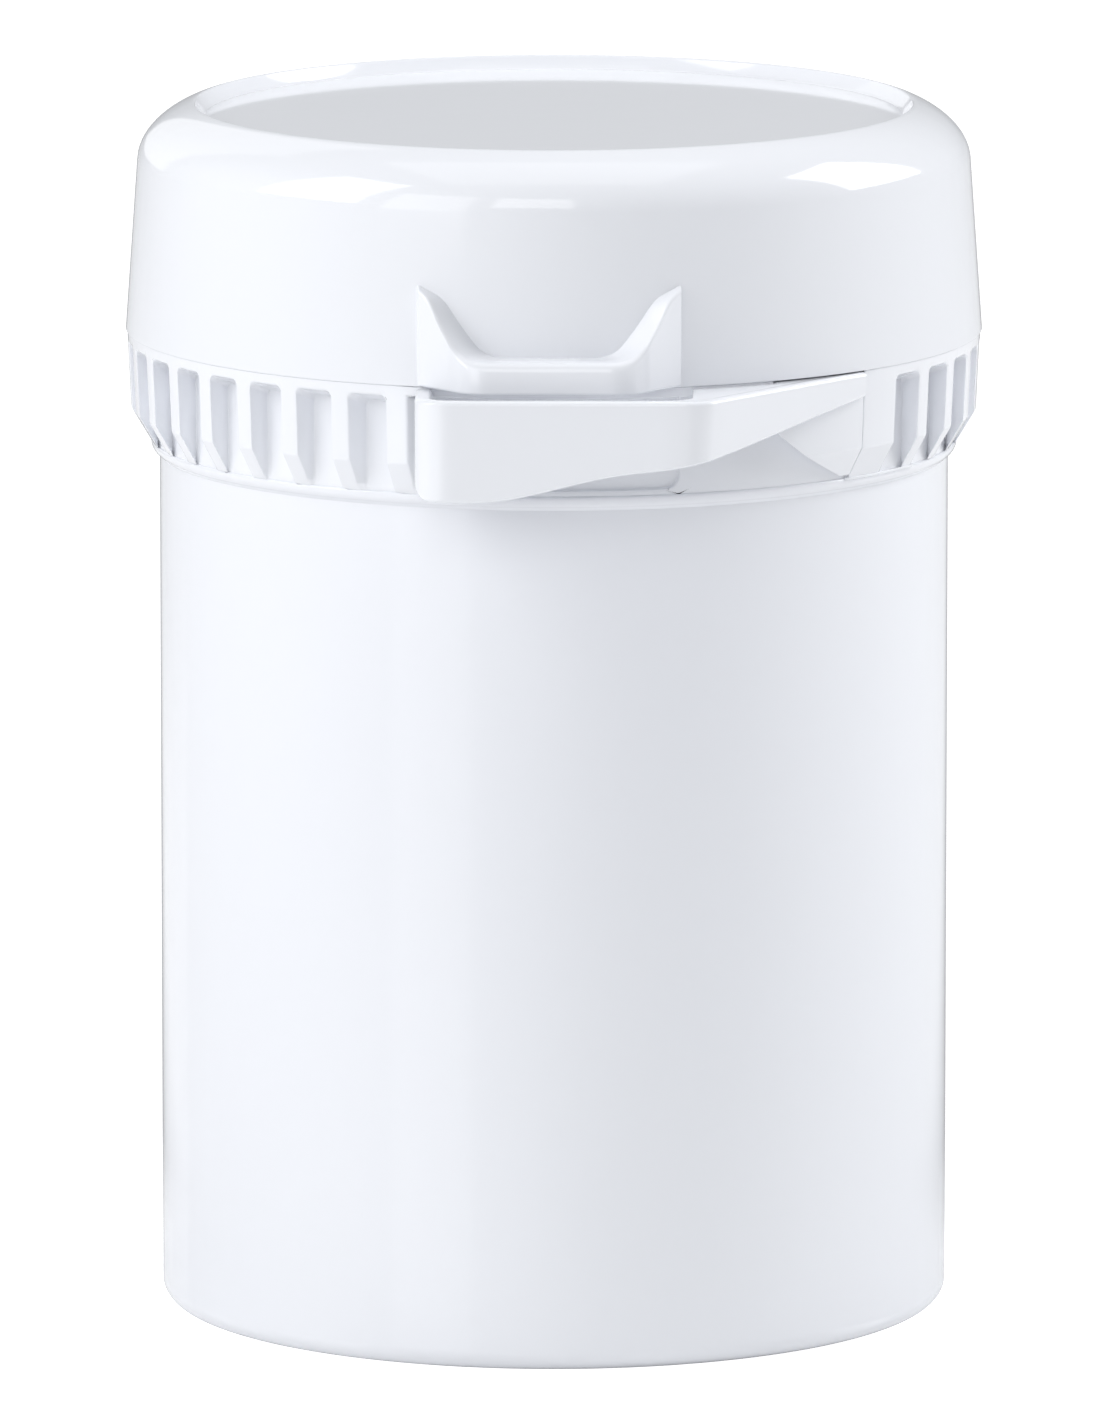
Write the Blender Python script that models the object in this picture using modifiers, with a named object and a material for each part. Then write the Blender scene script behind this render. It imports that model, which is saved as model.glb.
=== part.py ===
"""Round plastic pot with a hinged snap-on lid and a tear-off safety tab.

The pot is one moulding. The closure is a second one: a ribbed collar that stays on the
neck, a lid joined to it at the back by two strap hinges, and a tab at the front that has
to be torn away before a thumb can reach the lid's lug.

Metres, +Z up. The origin is on the pot's axis, in the plane that the pot stands on.
The front, with the lug and the tab, is towards -Y. Angles round the axis are measured
from the front, positive towards +X.
"""

import math

import bmesh
import bpy
from mathutils import Matrix, Vector

MM = 0.001
DEG = math.pi / 180.0

# Fits
CLEARANCE = 0.3 * MM            # between two pieces that lie against each other
TURN_STEPS = 64                 # flats round a turned shape
ARC_STEP = 30.0 * DEG           # one flat of a small rounding
FINE_STEP = 15.0 * DEG          # one flat of a rounding that shows

# Pot
POT_RADIUS = 33.0 * MM
POT_WALL = 1.6 * MM
POT_FLOOR = 1.8 * MM
HEEL_RADIUS = 1.7 * MM
FLOOR_FILLET = 3.0 * MM
SEAT_HEIGHT = 73.15 * MM        # top of the bead that carries the collar
SEAT_PROUD = 0.65 * MM
SEAT_BEAD_HEIGHT = 0.85 * MM
NECK_WALL = 1.0 * MM
RIM_ROUND = 0.35 * MM
RETAINING_PROUD = 0.8 * MM      # bead that keeps the collar down
RETAINING_HEIGHT = 1.6 * MM
SNAP_PROUD = 0.45 * MM          # bead that the lid snaps over
SNAP_HEIGHT = 1.6 * MM
SNAP_BELOW_RIM = 3.9 * MM

# Collar
COLLAR_HEIGHT = 8.8 * MM
COLLAR_WALL = 2.86 * MM         # at its top
COLLAR_DRAFT = 0.30 * MM        # how much narrower it is above the chamfer
CHAMFER_HEIGHT = 2.5 * MM
CHAMFER_DEPTH = 1.5 * MM
COLLAR_WEB = 0.9 * MM           # wall left behind the slots
TOP_BAND = 0.85 * MM            # plain band above the slots
SLOT_WIDTH = 3.3 * MM
SLOT_CORNER = 0.5 * MM
SLOT_PITCH = 8.1 * DEG
SLOTS_LEFT = 17
SLOTS_RIGHT = 13
FIRST_SLOT_LEFT = -24.6 * DEG
FIRST_SLOT_RIGHT = 55.9 * DEG
WINDOW_LEFT = -19.1 * DEG       # plain recess behind the tab
WINDOW_RIGHT = 46.5 * DEG
NOTCH_LEFT = 31.0 * DEG         # where the recess also cuts the top band
POCKET_DEPTH = 0.35 * MM        # shallow pocket under the lug
POCKET_SILL = 0.3 * MM
POCKET_CORNER = 1.2 * MM

# Lid
LID_GAP = 0.33 * MM             # between the collar's top and the lid's edge
LID_OVERHANG = 0.24 * MM        # how far the lid's edge stands out past the collar
LID_EDGE_ROUND = 0.35 * MM
LID_WALL = 1.4 * MM
SKIRT_HEIGHT = 14.0 * MM
SKIRT_DRAFT = 1.0 * MM          # how much narrower the skirt is where it ends
SHOULDER_WIDTH = 5.25 * MM
SHOULDER_HEIGHT = 4.95 * MM
SHOULDER_POWER = 1.4            # above 1, the shoulder falls away faster than a round
SHOULDER_END = 78.0 * DEG
SHOULDER_STEPS = 6              # flats along the shoulder's curve
LIP_ROUND = 0.25 * MM
RECESS_DEPTH = 1.1 * MM
RECESS_DRAFT = 0.55 * MM
PANEL_THICKNESS = 1.4 * MM
RING_GAP = 2.0 * MM             # between the ring under the panel and the pot's bore
RING_WIDTH = 0.9 * MM
RING_DEPTH = 0.8 * MM
LID_BEAD_PROUD = 0.25 * MM      # bead inside the skirt, under the neck's bead
LID_BEAD_HEIGHT = 1.4 * MM
LID_BEAD_DROP = 3.1 * MM        # its middle below the middle of the neck's bead

# Lug on the lid
LUG_REACH = 3.5 * MM            # its front face beyond the lid's edge
LUG_HALF_WIDTH = 10.8 * MM
LUG_FRONT_HALF = 6.6 * MM
LUG_CORNER = 3.2 * MM
LUG_SHELF = 2.6 * MM            # shelf above the lid's edge
LUG_SHELF_HALF = 3.55 * MM      # where the shelf's level part ends
LUG_FILLET = 3.2 * MM
LUG_SLOPE = 47.3 * DEG
LUG_EAR = 7.36 * MM             # where the slope turns outwards, above the lid's edge
LUG_EAR_ROUND = 3.7 * MM
LUG_TIP = 8.05 * MM             # ear tips above the lid's edge
LUG_TIP_HALF = 12.8 * MM
LUG_FLARE = 0.12 / MM           # how much the saddle widens for its distance from the skirt

# Tear tab
TAB_REACH = 6.24 * MM           # its front face beyond the collar
TAB_WALL = 1.4 * MM
TAB_LEFT = 10.9 * MM
TAB_TOP_DROP = 0.05 * MM        # its top below the collar's top
TAB_HEIGHT = 8.2 * MM           # at the free end
TAB_CORNER = 2.75 * MM
TAB_LOW_CORNER = 1.0 * MM
TAB_BEND_X = 12.8 * MM
TAB_BEND_ROUND = 3.0 * MM
TAB_ROOT_ANGLE = 45.9 * DEG
TAB_ROOT_PROUD = 0.5 * MM
TAB_FLAT_END_X = -6.0 * MM      # the lower edge is level up to here
TAB_KNEE_X = 6.0 * MM           # where its first rise eases off
TAB_KNEE_RISE = 2.25 * MM
TAB_ARM_X = 11.5 * MM           # where the arm's rise starts
TAB_ARM_RISE = 2.9 * MM
TAB_ROOT_RISE = 6.3 * MM
TAB_EDGE_STEPS = 5              # flats between two of the places above
PLATE_START_X = 11.7 * MM       # the tab is roofed from here to its root
PLATE_THICKNESS = 1.2 * MM
PLATE_FILLET = 1.9 * MM
PLATE_RUN_IN = 2.0 * MM         # the roof's outline runs this far into the collar's space
RAMP_LOW_ANGLE = 43.4 * DEG     # where the root's sloping edge meets the collar's foot
RAMP_HIGH_ANGLE = 32.3 * DEG
RAMP_RISE = 4.3 * MM
RAMP_LEAN = 45.0 * DEG
ROOT_FOOT = 0.4 * MM            # the root ends this far above the collar's foot

# Strap hinges at the back
STRAP_WIDTH = 6.0 * MM
STRAP_SPACING = 11.0 * MM       # between the straps' middles
STRAP_PROUD = 0.9 * MM          # beyond the lid's edge
LEAF_HEIGHT = 4.6 * MM
LEAF_ROUND = 0.8 * MM
FOLD_OFFSET = 0.1 * MM          # fold line outside the leaves' faces

# Places worked out from the sizes above
BORE_RADIUS = POT_RADIUS - POT_WALL
NECK_RADIUS = BORE_RADIUS + NECK_WALL
COLLAR_BORE = NECK_RADIUS + CLEARANCE
COLLAR_RADIUS = COLLAR_BORE + COLLAR_WALL
COLLAR_FOOT_Z = SEAT_HEIGHT + CLEARANCE
COLLAR_TOP_Z = COLLAR_FOOT_Z + COLLAR_HEIGHT
WINDOW_RADIUS = COLLAR_BORE + COLLAR_WEB
CHAMFER_TOP_RADIUS = COLLAR_RADIUS - COLLAR_DRAFT
SLOT_TOP_Z = COLLAR_TOP_Z - TOP_BAND
LID_EDGE_Z = COLLAR_TOP_Z + LID_GAP
LID_RADIUS = COLLAR_RADIUS + LID_OVERHANG
SHOULDER_RADIUS = LID_RADIUS - SKIRT_DRAFT
SHOULDER_Z = LID_EDGE_Z + SKIRT_HEIGHT
CREST_Z = SHOULDER_Z + SHOULDER_HEIGHT * math.sin(SHOULDER_END)
PANEL_Z = CREST_Z - RECESS_DEPTH
UNDERSIDE_Z = PANEL_Z - PANEL_THICKNESS
RIM_Z = UNDERSIDE_Z - CLEARANCE
LUG_FRONT = LID_RADIUS + LUG_REACH
LUG_ROOT_RADIUS = SHOULDER_RADIUS - LID_WALL / 2.0
TAB_FRONT = COLLAR_RADIUS + TAB_REACH
TAB_ROOT_X = (COLLAR_RADIUS + TAB_ROOT_PROUD) * math.sin(TAB_ROOT_ANGLE)
TAB_ROOT_Y = (COLLAR_RADIUS + TAB_ROOT_PROUD) * math.cos(TAB_ROOT_ANGLE)
TAB_TOP_Z = COLLAR_TOP_Z - TAB_TOP_DROP
TAB_LOW_Z = TAB_TOP_Z - TAB_HEIGHT
TAB_INNER_RADIUS = COLLAR_RADIUS + CLEARANCE
ROOT_ANGLE = WINDOW_RIGHT - CLEARANCE / COLLAR_BORE
ROOT_LEFT = NOTCH_LEFT + CLEARANCE / COLLAR_BORE
ROOT_INNER = WINDOW_RADIUS + CLEARANCE
LEAF_FACE_Y = LID_RADIUS + STRAP_PROUD
FOLD_Y = LEAF_FACE_Y + FOLD_OFFSET
FOLD_Z = COLLAR_TOP_Z + LID_GAP / 2.0
TEAR_ANGLE = (ROOT_ANGLE + WINDOW_RIGHT) / 2.0
TEAR_RADIUS = COLLAR_RADIUS + CLEARANCE / 2.0
BIG = 60.0 * MM                 # reach of a cutter that has to pass right through
RUN_OUT = 4.0 * MM              # how far a cutter goes past the face that it trims


# Scene helpers

def clear_scene():
    """Start from an empty scene."""
    for old in list(bpy.data.objects):
        bpy.data.objects.remove(old, do_unlink=True)


def new_collection(name):
    """Make a collection under the scene."""
    collection = bpy.data.collections.new(name)
    bpy.context.scene.collection.children.link(collection)
    return collection


def plastic(name, colour, roughness):
    """Plain moulded plastic."""
    material = bpy.data.materials.new(name)
    material.use_nodes = True
    shader = material.node_tree.nodes["Principled BSDF"]
    shader.inputs["Base Color"].default_value = (*colour, 1.0)
    shader.inputs["Roughness"].default_value = roughness
    shader.inputs["Metallic"].default_value = 0.0
    return material


def on_circle(radius, angle):
    """Point at an angle from the front, positive towards +X."""
    return radius * math.sin(angle), -radius * math.cos(angle)


def add_object(name, data, collection):
    """Link a new object."""
    thing = bpy.data.objects.new(name, data)
    collection.objects.link(thing)
    return thing


def make_cutter(thing):
    """A helper solid is only an outline in the view and is never rendered."""
    thing.display_type = "WIRE"
    thing.hide_render = True
    return thing


def settle(thing, sharp_angle=30.0 * DEG):
    """Turn an object's modifiers into its mesh, smooth with crisp corners."""
    graph = bpy.context.evaluated_depsgraph_get()
    mesh = bpy.data.meshes.new_from_object(thing.evaluated_get(graph))
    mesh.name = thing.name
    thing.modifiers.clear()
    thing.data = mesh
    mesh.shade_smooth()
    mesh.set_sharp_from_angle(angle=sharp_angle)
    return thing


def put_origin(thing, place):
    """Move an object's origin onto its joint's axis and leave its shape where it is."""
    thing.data.transform(Matrix.Translation(-Vector(place)))
    thing.location = place


def boolean(thing, tool, operation):
    """Add an exact Boolean to a solid."""
    modifier = thing.modifiers.new(tool.name, "BOOLEAN")
    modifier.operation = operation
    modifier.solver = "EXACT"
    modifier.object = tool
    return modifier


# Outlines

def arc(centre, radius, start, end, step=ARC_STEP):
    """Points along an arc, both ends included."""
    count = max(2, round(abs(end - start) / step) + 1)
    points = []
    for i in range(count):
        angle = start + (end - start) * i / (count - 1)
        points.append((centre[0] + radius * math.cos(angle), centre[1] + radius * math.sin(angle)))
    return points


def round_corners(corners, radii, closed=True):
    """Replace each corner that has a radius with an arc."""
    points = []
    count = len(corners)
    for i, corner in enumerate(corners):
        radius = radii[i]
        if radius <= 0.0:
            points.append(corner)
            continue
        here = Vector(corner)
        before = (Vector(corners[i - 1]) - here).normalized()
        after = (Vector(corners[(i + 1) % count]) - here).normalized()
        half = before.angle(after) / 2.0
        centre = here + (before + after).normalized() * (radius / math.sin(half))
        first = here + before * (radius / math.tan(half)) - centre
        last = here + after * (radius / math.tan(half)) - centre
        start = math.atan2(first.y, first.x)
        turn = math.atan2(first.x * last.y - first.y * last.x, first.dot(last))
        points.extend(arc(centre, radius, start, start + turn, FINE_STEP))
    return points


def smooth_through(points, steps):
    """A curve through points that starts level and ends straight."""
    slopes = [0.0]
    for i in range(1, len(points) - 1):
        rise = points[i + 1][1] - points[i - 1][1]
        slopes.append(rise / (points[i + 1][0] - points[i - 1][0]))
    slopes.append((points[-1][1] - points[-2][1]) / (points[-1][0] - points[-2][0]))
    result = []
    for i in range(len(points) - 1):
        (x0, y0), (x1, y1) = points[i], points[i + 1]
        width = x1 - x0
        for k in range(steps):
            t = k / steps
            y = (
                (2 * t**3 - 3 * t**2 + 1) * y0
                + (t**3 - 2 * t**2 + t) * width * slopes[i]
                + (3 * t**2 - 2 * t**3) * y1
                + (t**3 - t**2) * width * slopes[i + 1]
            )
            result.append((x0 + width * t, y))
    result.append(points[-1])
    return result


# Solids

def turned(name, profile, collection, closed=False):
    """Turn a profile of (radius, height) about the axis.

    The profile runs down on its outer side. It starts and ends on the axis, or is closed.
    """
    mesh = bpy.data.meshes.new(name)
    edges = [(i, i + 1) for i in range(len(profile) - 1)]
    if closed:
        edges.append((len(profile) - 1, 0))
    mesh.from_pydata([(r, 0.0, z) for r, z in profile], edges, [])
    thing = add_object(name, mesh, collection)
    screw = thing.modifiers.new("turn", "SCREW")
    screw.steps = TURN_STEPS
    screw.render_steps = TURN_STEPS
    screw.use_merge_vertices = True
    screw.merge_threshold = 0.00001
    screw.use_smooth_shade = True
    return thing


def slab(name, outline, low, high, collection, upright=False, widths=(1.0, 1.0)):
    """Extrude a flat outline between two levels.

    The outline lies in X and Y. An upright slab's outline lies in X and Z instead, and its
    levels are distances in front of the axis. Widths scale the near and the far side in X.
    """
    curve = bpy.data.curves.new(name, "CURVE")
    curve.dimensions = "2D"
    curve.fill_mode = "BOTH"
    curve.extrude = (high - low) / 2.0
    spline = curve.splines.new("POLY")
    spline.points.add(len(outline) - 1)
    for point, (x, y) in zip(spline.points, outline):
        point.co = (x, y, 0.0, 1.0)
    spline.use_cyclic_u = True
    flat = add_object(name + "_outline", curve, collection)
    graph = bpy.context.evaluated_depsgraph_get()
    mesh = bpy.data.meshes.new_from_object(flat.evaluated_get(graph))
    bpy.data.objects.remove(flat, do_unlink=True)
    bpy.data.curves.remove(curve)
    weld(mesh)
    middle = (high + low) / 2.0
    for vertex in mesh.vertices:
        width = widths[1] if vertex.co.z > 0.0 else widths[0]
        vertex.co = (vertex.co.x * width, vertex.co.y, vertex.co.z + middle)
    if upright:
        mesh.transform(Matrix.Rotation(90.0 * DEG, 4, "X"))
    return add_object(name, mesh, collection)


def weld(mesh):
    """Join the loose caps of a filled curve to its sides."""
    work = bmesh.new()
    work.from_mesh(mesh)
    bmesh.ops.remove_doubles(work, verts=work.verts, dist=0.000001)
    bmesh.ops.recalc_face_normals(work, faces=work.faces)
    work.to_mesh(mesh)
    work.free()


def block(name, size, collection):
    """A cube with its middle at the origin."""
    mesh = bpy.data.meshes.new(name)
    work = bmesh.new()
    bmesh.ops.create_cube(work, size=size)
    work.to_mesh(mesh)
    work.free()
    return add_object(name, mesh, collection)


def sector(name, start, end, low, high, inner, outer, collection):
    """Part of a flat ring between two angles."""
    steps = max(1, math.ceil((end - start) / (360.0 * DEG / TURN_STEPS)))
    angles = [start + (end - start) * i / steps for i in range(steps + 1)]
    rim = [on_circle(outer, angle) for angle in angles]
    back = [on_circle(inner, angle) for angle in reversed(angles)]
    return slab(name, rim + back, low, high, collection)


def disc_tool(name, radius, low, high, collection, top_radius=None):
    """A plain turned solid, straight or tapered, that cuts its neighbours."""
    top = radius if top_radius is None else top_radius
    profile = [(0.0, high), (top, high), (radius, low), (0.0, low)]
    return make_cutter(settle(turned(name, profile, collection)))


# The pot

def bead(radius, middle, height, proud):
    """A low rounded ridge on a wall, from its upper end down."""
    half = height / 2.0
    points = []
    for angle in (90.0, 45.0, 0.0, -45.0, -90.0):
        lift = math.cos(angle * DEG)
        points.append((radius + proud * lift, middle + half * math.sin(angle * DEG)))
    return points


def pot_profile():
    """Inside of the floor, up the bore, over the rim and down the outside."""
    floor_arc = arc(
        (BORE_RADIUS - FLOOR_FILLET, POT_FLOOR + FLOOR_FILLET), FLOOR_FILLET, -90.0 * DEG, 0.0
    )
    rim_in = arc((BORE_RADIUS + RIM_ROUND, RIM_Z - RIM_ROUND), RIM_ROUND, 180.0 * DEG, 90.0 * DEG)
    rim_out = arc((NECK_RADIUS - RIM_ROUND, RIM_Z - RIM_ROUND), RIM_ROUND, 90.0 * DEG, 0.0)
    snap_middle = RIM_Z - SNAP_BELOW_RIM
    keeper_middle = COLLAR_TOP_Z + CLEARANCE + RETAINING_HEIGHT / 2.0
    seat = bead(POT_RADIUS, SEAT_HEIGHT - SEAT_BEAD_HEIGHT / 2.0, SEAT_BEAD_HEIGHT, SEAT_PROUD)
    heel = arc((POT_RADIUS - HEEL_RADIUS, HEEL_RADIUS), HEEL_RADIUS, 0.0, -90.0 * DEG)
    profile = [(0.0, POT_FLOOR)] + floor_arc + rim_in + rim_out
    profile += bead(NECK_RADIUS, snap_middle, SNAP_HEIGHT, SNAP_PROUD)
    profile += bead(NECK_RADIUS, keeper_middle, RETAINING_HEIGHT, RETAINING_PROUD)
    profile += [(NECK_RADIUS, SEAT_HEIGHT)] + seat + heel + [(0.0, 0.0)]
    return profile


def make_pot(parts, material):
    """Straight-sided pot with a neck, a seat bead and two snap beads."""
    pot = settle(turned("pot", pot_profile(), parts))
    pot.data.materials.append(material)
    return pot


# The collar

def collar_profile(bore, foot_radius=None):
    """Cross-section of the collar's ring, with its chamfered foot."""
    lower = CHAMFER_TOP_RADIUS - CHAMFER_DEPTH if foot_radius is None else foot_radius
    return [
        (bore, COLLAR_TOP_Z),
        (COLLAR_RADIUS, COLLAR_TOP_Z),
        (CHAMFER_TOP_RADIUS, COLLAR_FOOT_Z + CHAMFER_HEIGHT),
        (lower, COLLAR_FOOT_Z),
        (bore, COLLAR_FOOT_Z),
    ]


def slot_angles():
    """Middles of the slots, counted from the window towards the hinges."""
    left = [FIRST_SLOT_LEFT - SLOT_PITCH * i for i in range(SLOTS_LEFT)]
    right = [FIRST_SLOT_RIGHT + SLOT_PITCH * i for i in range(SLOTS_RIGHT)]
    return left + right


def slot_tool(angle, collection):
    """One slot: round-topped corners above, open through the foot."""
    half = SLOT_WIDTH / 2.0
    low = COLLAR_FOOT_Z - COLLAR_HEIGHT
    corners = [(-half, low), (half, low), (half, SLOT_TOP_Z), (-half, SLOT_TOP_Z)]
    outline = round_corners(corners, [0.0, 0.0, SLOT_CORNER, SLOT_CORNER])
    tool = slab("slot_tool", outline, WINDOW_RADIUS, BIG, collection, upright=True)
    tool.data.transform(Matrix.Rotation(angle, 4, "Z"))
    return make_cutter(tool)


def join_tools(name, tools, collection):
    """Put cutters that don't meet into one object."""
    work = bmesh.new()
    for tool in tools:
        work.from_mesh(tool.data)
    mesh = bpy.data.meshes.new(name)
    work.to_mesh(mesh)
    work.free()
    for tool in tools:
        bpy.data.objects.remove(tool, do_unlink=True)
    return make_cutter(add_object(name, mesh, collection))


def pocket_tool(collection):
    """Shallow round-cornered pocket in the window's floor, under the lug."""
    low = COLLAR_FOOT_Z + POCKET_SILL
    half = LUG_HALF_WIDTH
    corners = [(-half, low), (half, low), (half, SLOT_TOP_Z), (-half, SLOT_TOP_Z)]
    outline = round_corners(corners, [POCKET_CORNER, POCKET_CORNER, 0.0, 0.0])
    tool = slab("pocket", outline, 0.0, BIG, collection, upright=True)
    floor_radius = WINDOW_RADIUS - POCKET_DEPTH
    floor = disc_tool("pocket_floor", floor_radius, low - RUN_OUT, COLLAR_TOP_Z, collection)
    boolean(tool, floor, "DIFFERENCE")
    return make_cutter(settle(tool))


def make_collar(parts, cutters, material):
    """Ribbed ring that stays on the neck, with a plain window behind the tab."""
    collar = turned("collar", collar_profile(COLLAR_BORE), parts, closed=True)
    slots = [slot_tool(angle, cutters) for angle in slot_angles()]
    boolean(collar, join_tools("slots", slots, cutters), "DIFFERENCE")
    below = COLLAR_FOOT_Z - COLLAR_HEIGHT
    window = sector(
        "window", WINDOW_LEFT, WINDOW_RIGHT, below, SLOT_TOP_Z, WINDOW_RADIUS, BIG, cutters
    )
    boolean(collar, make_cutter(window), "DIFFERENCE")
    notch = sector(
        "notch", NOTCH_LEFT, WINDOW_RIGHT, below, COLLAR_TOP_Z + BIG, WINDOW_RADIUS, BIG, cutters
    )
    boolean(collar, make_cutter(notch), "DIFFERENCE")
    boolean(collar, pocket_tool(cutters), "DIFFERENCE")
    settle(collar)
    collar.data.materials.append(material)
    return collar


# The lid

def skirt_radius(height):
    """Outside of the skirt at a height above the lid's edge."""
    return LID_RADIUS + (SHOULDER_RADIUS - LID_RADIUS) * height / SKIRT_HEIGHT


def shoulder(inset, end_angle):
    """The shoulder's curve, from the skirt up, or a curve inside it."""
    width = SHOULDER_WIDTH - inset
    height = SHOULDER_HEIGHT - inset
    start_radius = SHOULDER_RADIUS - SHOULDER_WIDTH
    points = []
    for i in range(SHOULDER_STEPS + 1):
        angle = end_angle * i / SHOULDER_STEPS
        radius = start_radius + width * math.cos(angle) ** SHOULDER_POWER
        points.append((radius, SHOULDER_Z + height * math.sin(angle)))
    return points


def lid_profile():
    """Recessed top panel, shoulder, skirt, and the same again inside."""
    outer = shoulder(0.0, SHOULDER_END)
    crest_radius = outer[-1][0]
    panel_radius = crest_radius - LIP_ROUND - RECESS_DRAFT
    top = [(0.0, PANEL_Z), (panel_radius, PANEL_Z)]
    top += [(crest_radius - LIP_ROUND, CREST_Z - LIP_ROUND)]
    top += list(reversed(outer))
    edge_radius = LID_RADIUS - LID_EDGE_ROUND
    edge = arc((edge_radius, LID_EDGE_Z + LID_EDGE_ROUND), LID_EDGE_ROUND, 0.0, -90.0 * DEG)
    inside_low = LID_RADIUS - LID_WALL
    bead_middle = RIM_Z - SNAP_BELOW_RIM - LID_BEAD_DROP
    bead_wall = skirt_radius(bead_middle - LID_EDGE_Z) - LID_WALL
    ridge = bead(bead_wall, bead_middle, LID_BEAD_HEIGHT, -LID_BEAD_PROUD)
    inside = [(inside_low, LID_EDGE_Z)] + list(reversed(ridge))
    inner_end = math.asin((UNDERSIDE_Z - SHOULDER_Z) / (SHOULDER_HEIGHT - LID_WALL))
    inside += shoulder(LID_WALL, inner_end)
    ring_z = UNDERSIDE_Z - RING_DEPTH
    ring_outer = BORE_RADIUS - RING_GAP
    ring_inner = ring_outer - RING_WIDTH
    inside += [(ring_outer, UNDERSIDE_Z), (ring_outer, ring_z)]
    inside += [(ring_inner, ring_z), (ring_inner, UNDERSIDE_Z), (0.0, UNDERSIDE_Z)]
    return top + edge + inside


def lug_plan():
    """The lug from above: a flat front with round corners and slanting cheeks."""
    root = LUG_ROOT_RADIUS - RUN_OUT
    cheek = math.sqrt(LID_RADIUS**2 - LUG_HALF_WIDTH**2)
    corners = [
        (LUG_HALF_WIDTH, -root),
        (-LUG_HALF_WIDTH, -root),
        (-LUG_HALF_WIDTH, -cheek),
        (-LUG_FRONT_HALF, -LUG_FRONT),
        (LUG_FRONT_HALF, -LUG_FRONT),
        (LUG_HALF_WIDTH, -cheek),
    ]
    return round_corners(corners, [0.0, 0.0, 0.0, LUG_CORNER, LUG_CORNER, 0.0])


def saddle_outline():
    """The space above the lug, at the skirt: a level shelf that curves up to an ear."""
    shelf = LID_EDGE_Z + LUG_SHELF
    ear = LID_EDGE_Z + LUG_EAR
    turn_x = LUG_SHELF_HALF + LUG_FILLET * math.tan(LUG_SLOPE / 2.0)
    ear_x = turn_x + (ear - shelf) / math.tan(LUG_SLOPE)
    side = [(0.0, shelf), (turn_x, shelf), (ear_x, ear), (LUG_TIP_HALF, LID_EDGE_Z + LUG_TIP)]
    right = round_corners(side, [0.0, LUG_FILLET, LUG_EAR_ROUND, 0.0])[1:]
    left = [(-x, z) for x, z in reversed(right)]
    roof = LID_EDGE_Z + LUG_TIP + RUN_OUT
    return left + right + [(LUG_TIP_HALF, roof), (-LUG_TIP_HALF, roof)]


def make_lid(parts, cutters, material):
    """Lid with a recessed panel and a thumb lug on its front."""
    lid = turned("lid", lid_profile(), parts)
    lug = slab("lug", lug_plan(), LID_EDGE_Z, LID_EDGE_Z + LUG_TIP, cutters)
    root_low = LID_RADIUS - LID_WALL / 2.0
    root = disc_tool("lug_root", root_low, LID_EDGE_Z, SHOULDER_Z, cutters, LUG_ROOT_RADIUS)
    boolean(lug, root, "DIFFERENCE")
    near = LUG_ROOT_RADIUS - RUN_OUT
    far = LUG_FRONT + RUN_OUT
    widths = [1.0 + LUG_FLARE * (level - SHOULDER_RADIUS) for level in (near, far)]
    saddle = slab("saddle", saddle_outline(), near, far, cutters, True, widths)
    boolean(lug, make_cutter(saddle), "DIFFERENCE")
    boolean(lid, make_cutter(settle(lug)), "UNION")
    settle(lid)
    put_origin(lid, (0.0, FOLD_Y, FOLD_Z))
    lid.data.materials.append(material)
    return lid


# The tear tab

def tab_face():
    """The tab's outer face from above, from the collar at the left to the root."""
    return [
        (-TAB_LEFT, -TAB_ROOT_Y),
        (-TAB_LEFT, -TAB_FRONT),
        (TAB_BEND_X, -TAB_FRONT),
        (TAB_ROOT_X, -TAB_ROOT_Y),
    ]


def offset_face(distance):
    """The same face moved inwards."""
    arm = Vector((TAB_ROOT_X - TAB_BEND_X, TAB_FRONT - TAB_ROOT_Y)).normalized()
    inward = Vector((-arm.y, arm.x)) * distance
    front = -TAB_FRONT + distance
    start = Vector((TAB_BEND_X, -TAB_FRONT)) + inward
    bend = start + arm * ((front - start.y) / arm.y)
    root = Vector((TAB_ROOT_X, -TAB_ROOT_Y)) + inward
    return [
        (-TAB_LEFT + distance, -TAB_ROOT_Y),
        (-TAB_LEFT + distance, front),
        (bend.x, bend.y),
        (root.x, root.y),
    ]


def tab_wall_outline():
    """One wall thickness behind the tab's outer face."""
    outer = round_corners(tab_face(), [0.0, TAB_CORNER, TAB_BEND_ROUND, 0.0])
    radii = [0.0, TAB_CORNER - TAB_WALL, TAB_BEND_ROUND + TAB_WALL, 0.0]
    inner = round_corners(offset_face(TAB_WALL), radii)
    return outer + list(reversed(inner))


def tab_plate_outline():
    """The roof over the arm, from inside its wall back past the collar."""
    inner = offset_face(TAB_WALL)
    middle = offset_face(TAB_WALL / 2.0)
    fillet_x = PLATE_START_X - PLATE_FILLET
    fillet_y = inner[1][1] + PLATE_FILLET
    fillet = arc((fillet_x, fillet_y), PLATE_FILLET, -90.0 * DEG, 0.0)
    back = TAB_ROOT_Y - PLATE_RUN_IN
    return fillet + [(PLATE_START_X, -back), middle[3], middle[2], (fillet_x, middle[1][1])]


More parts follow.
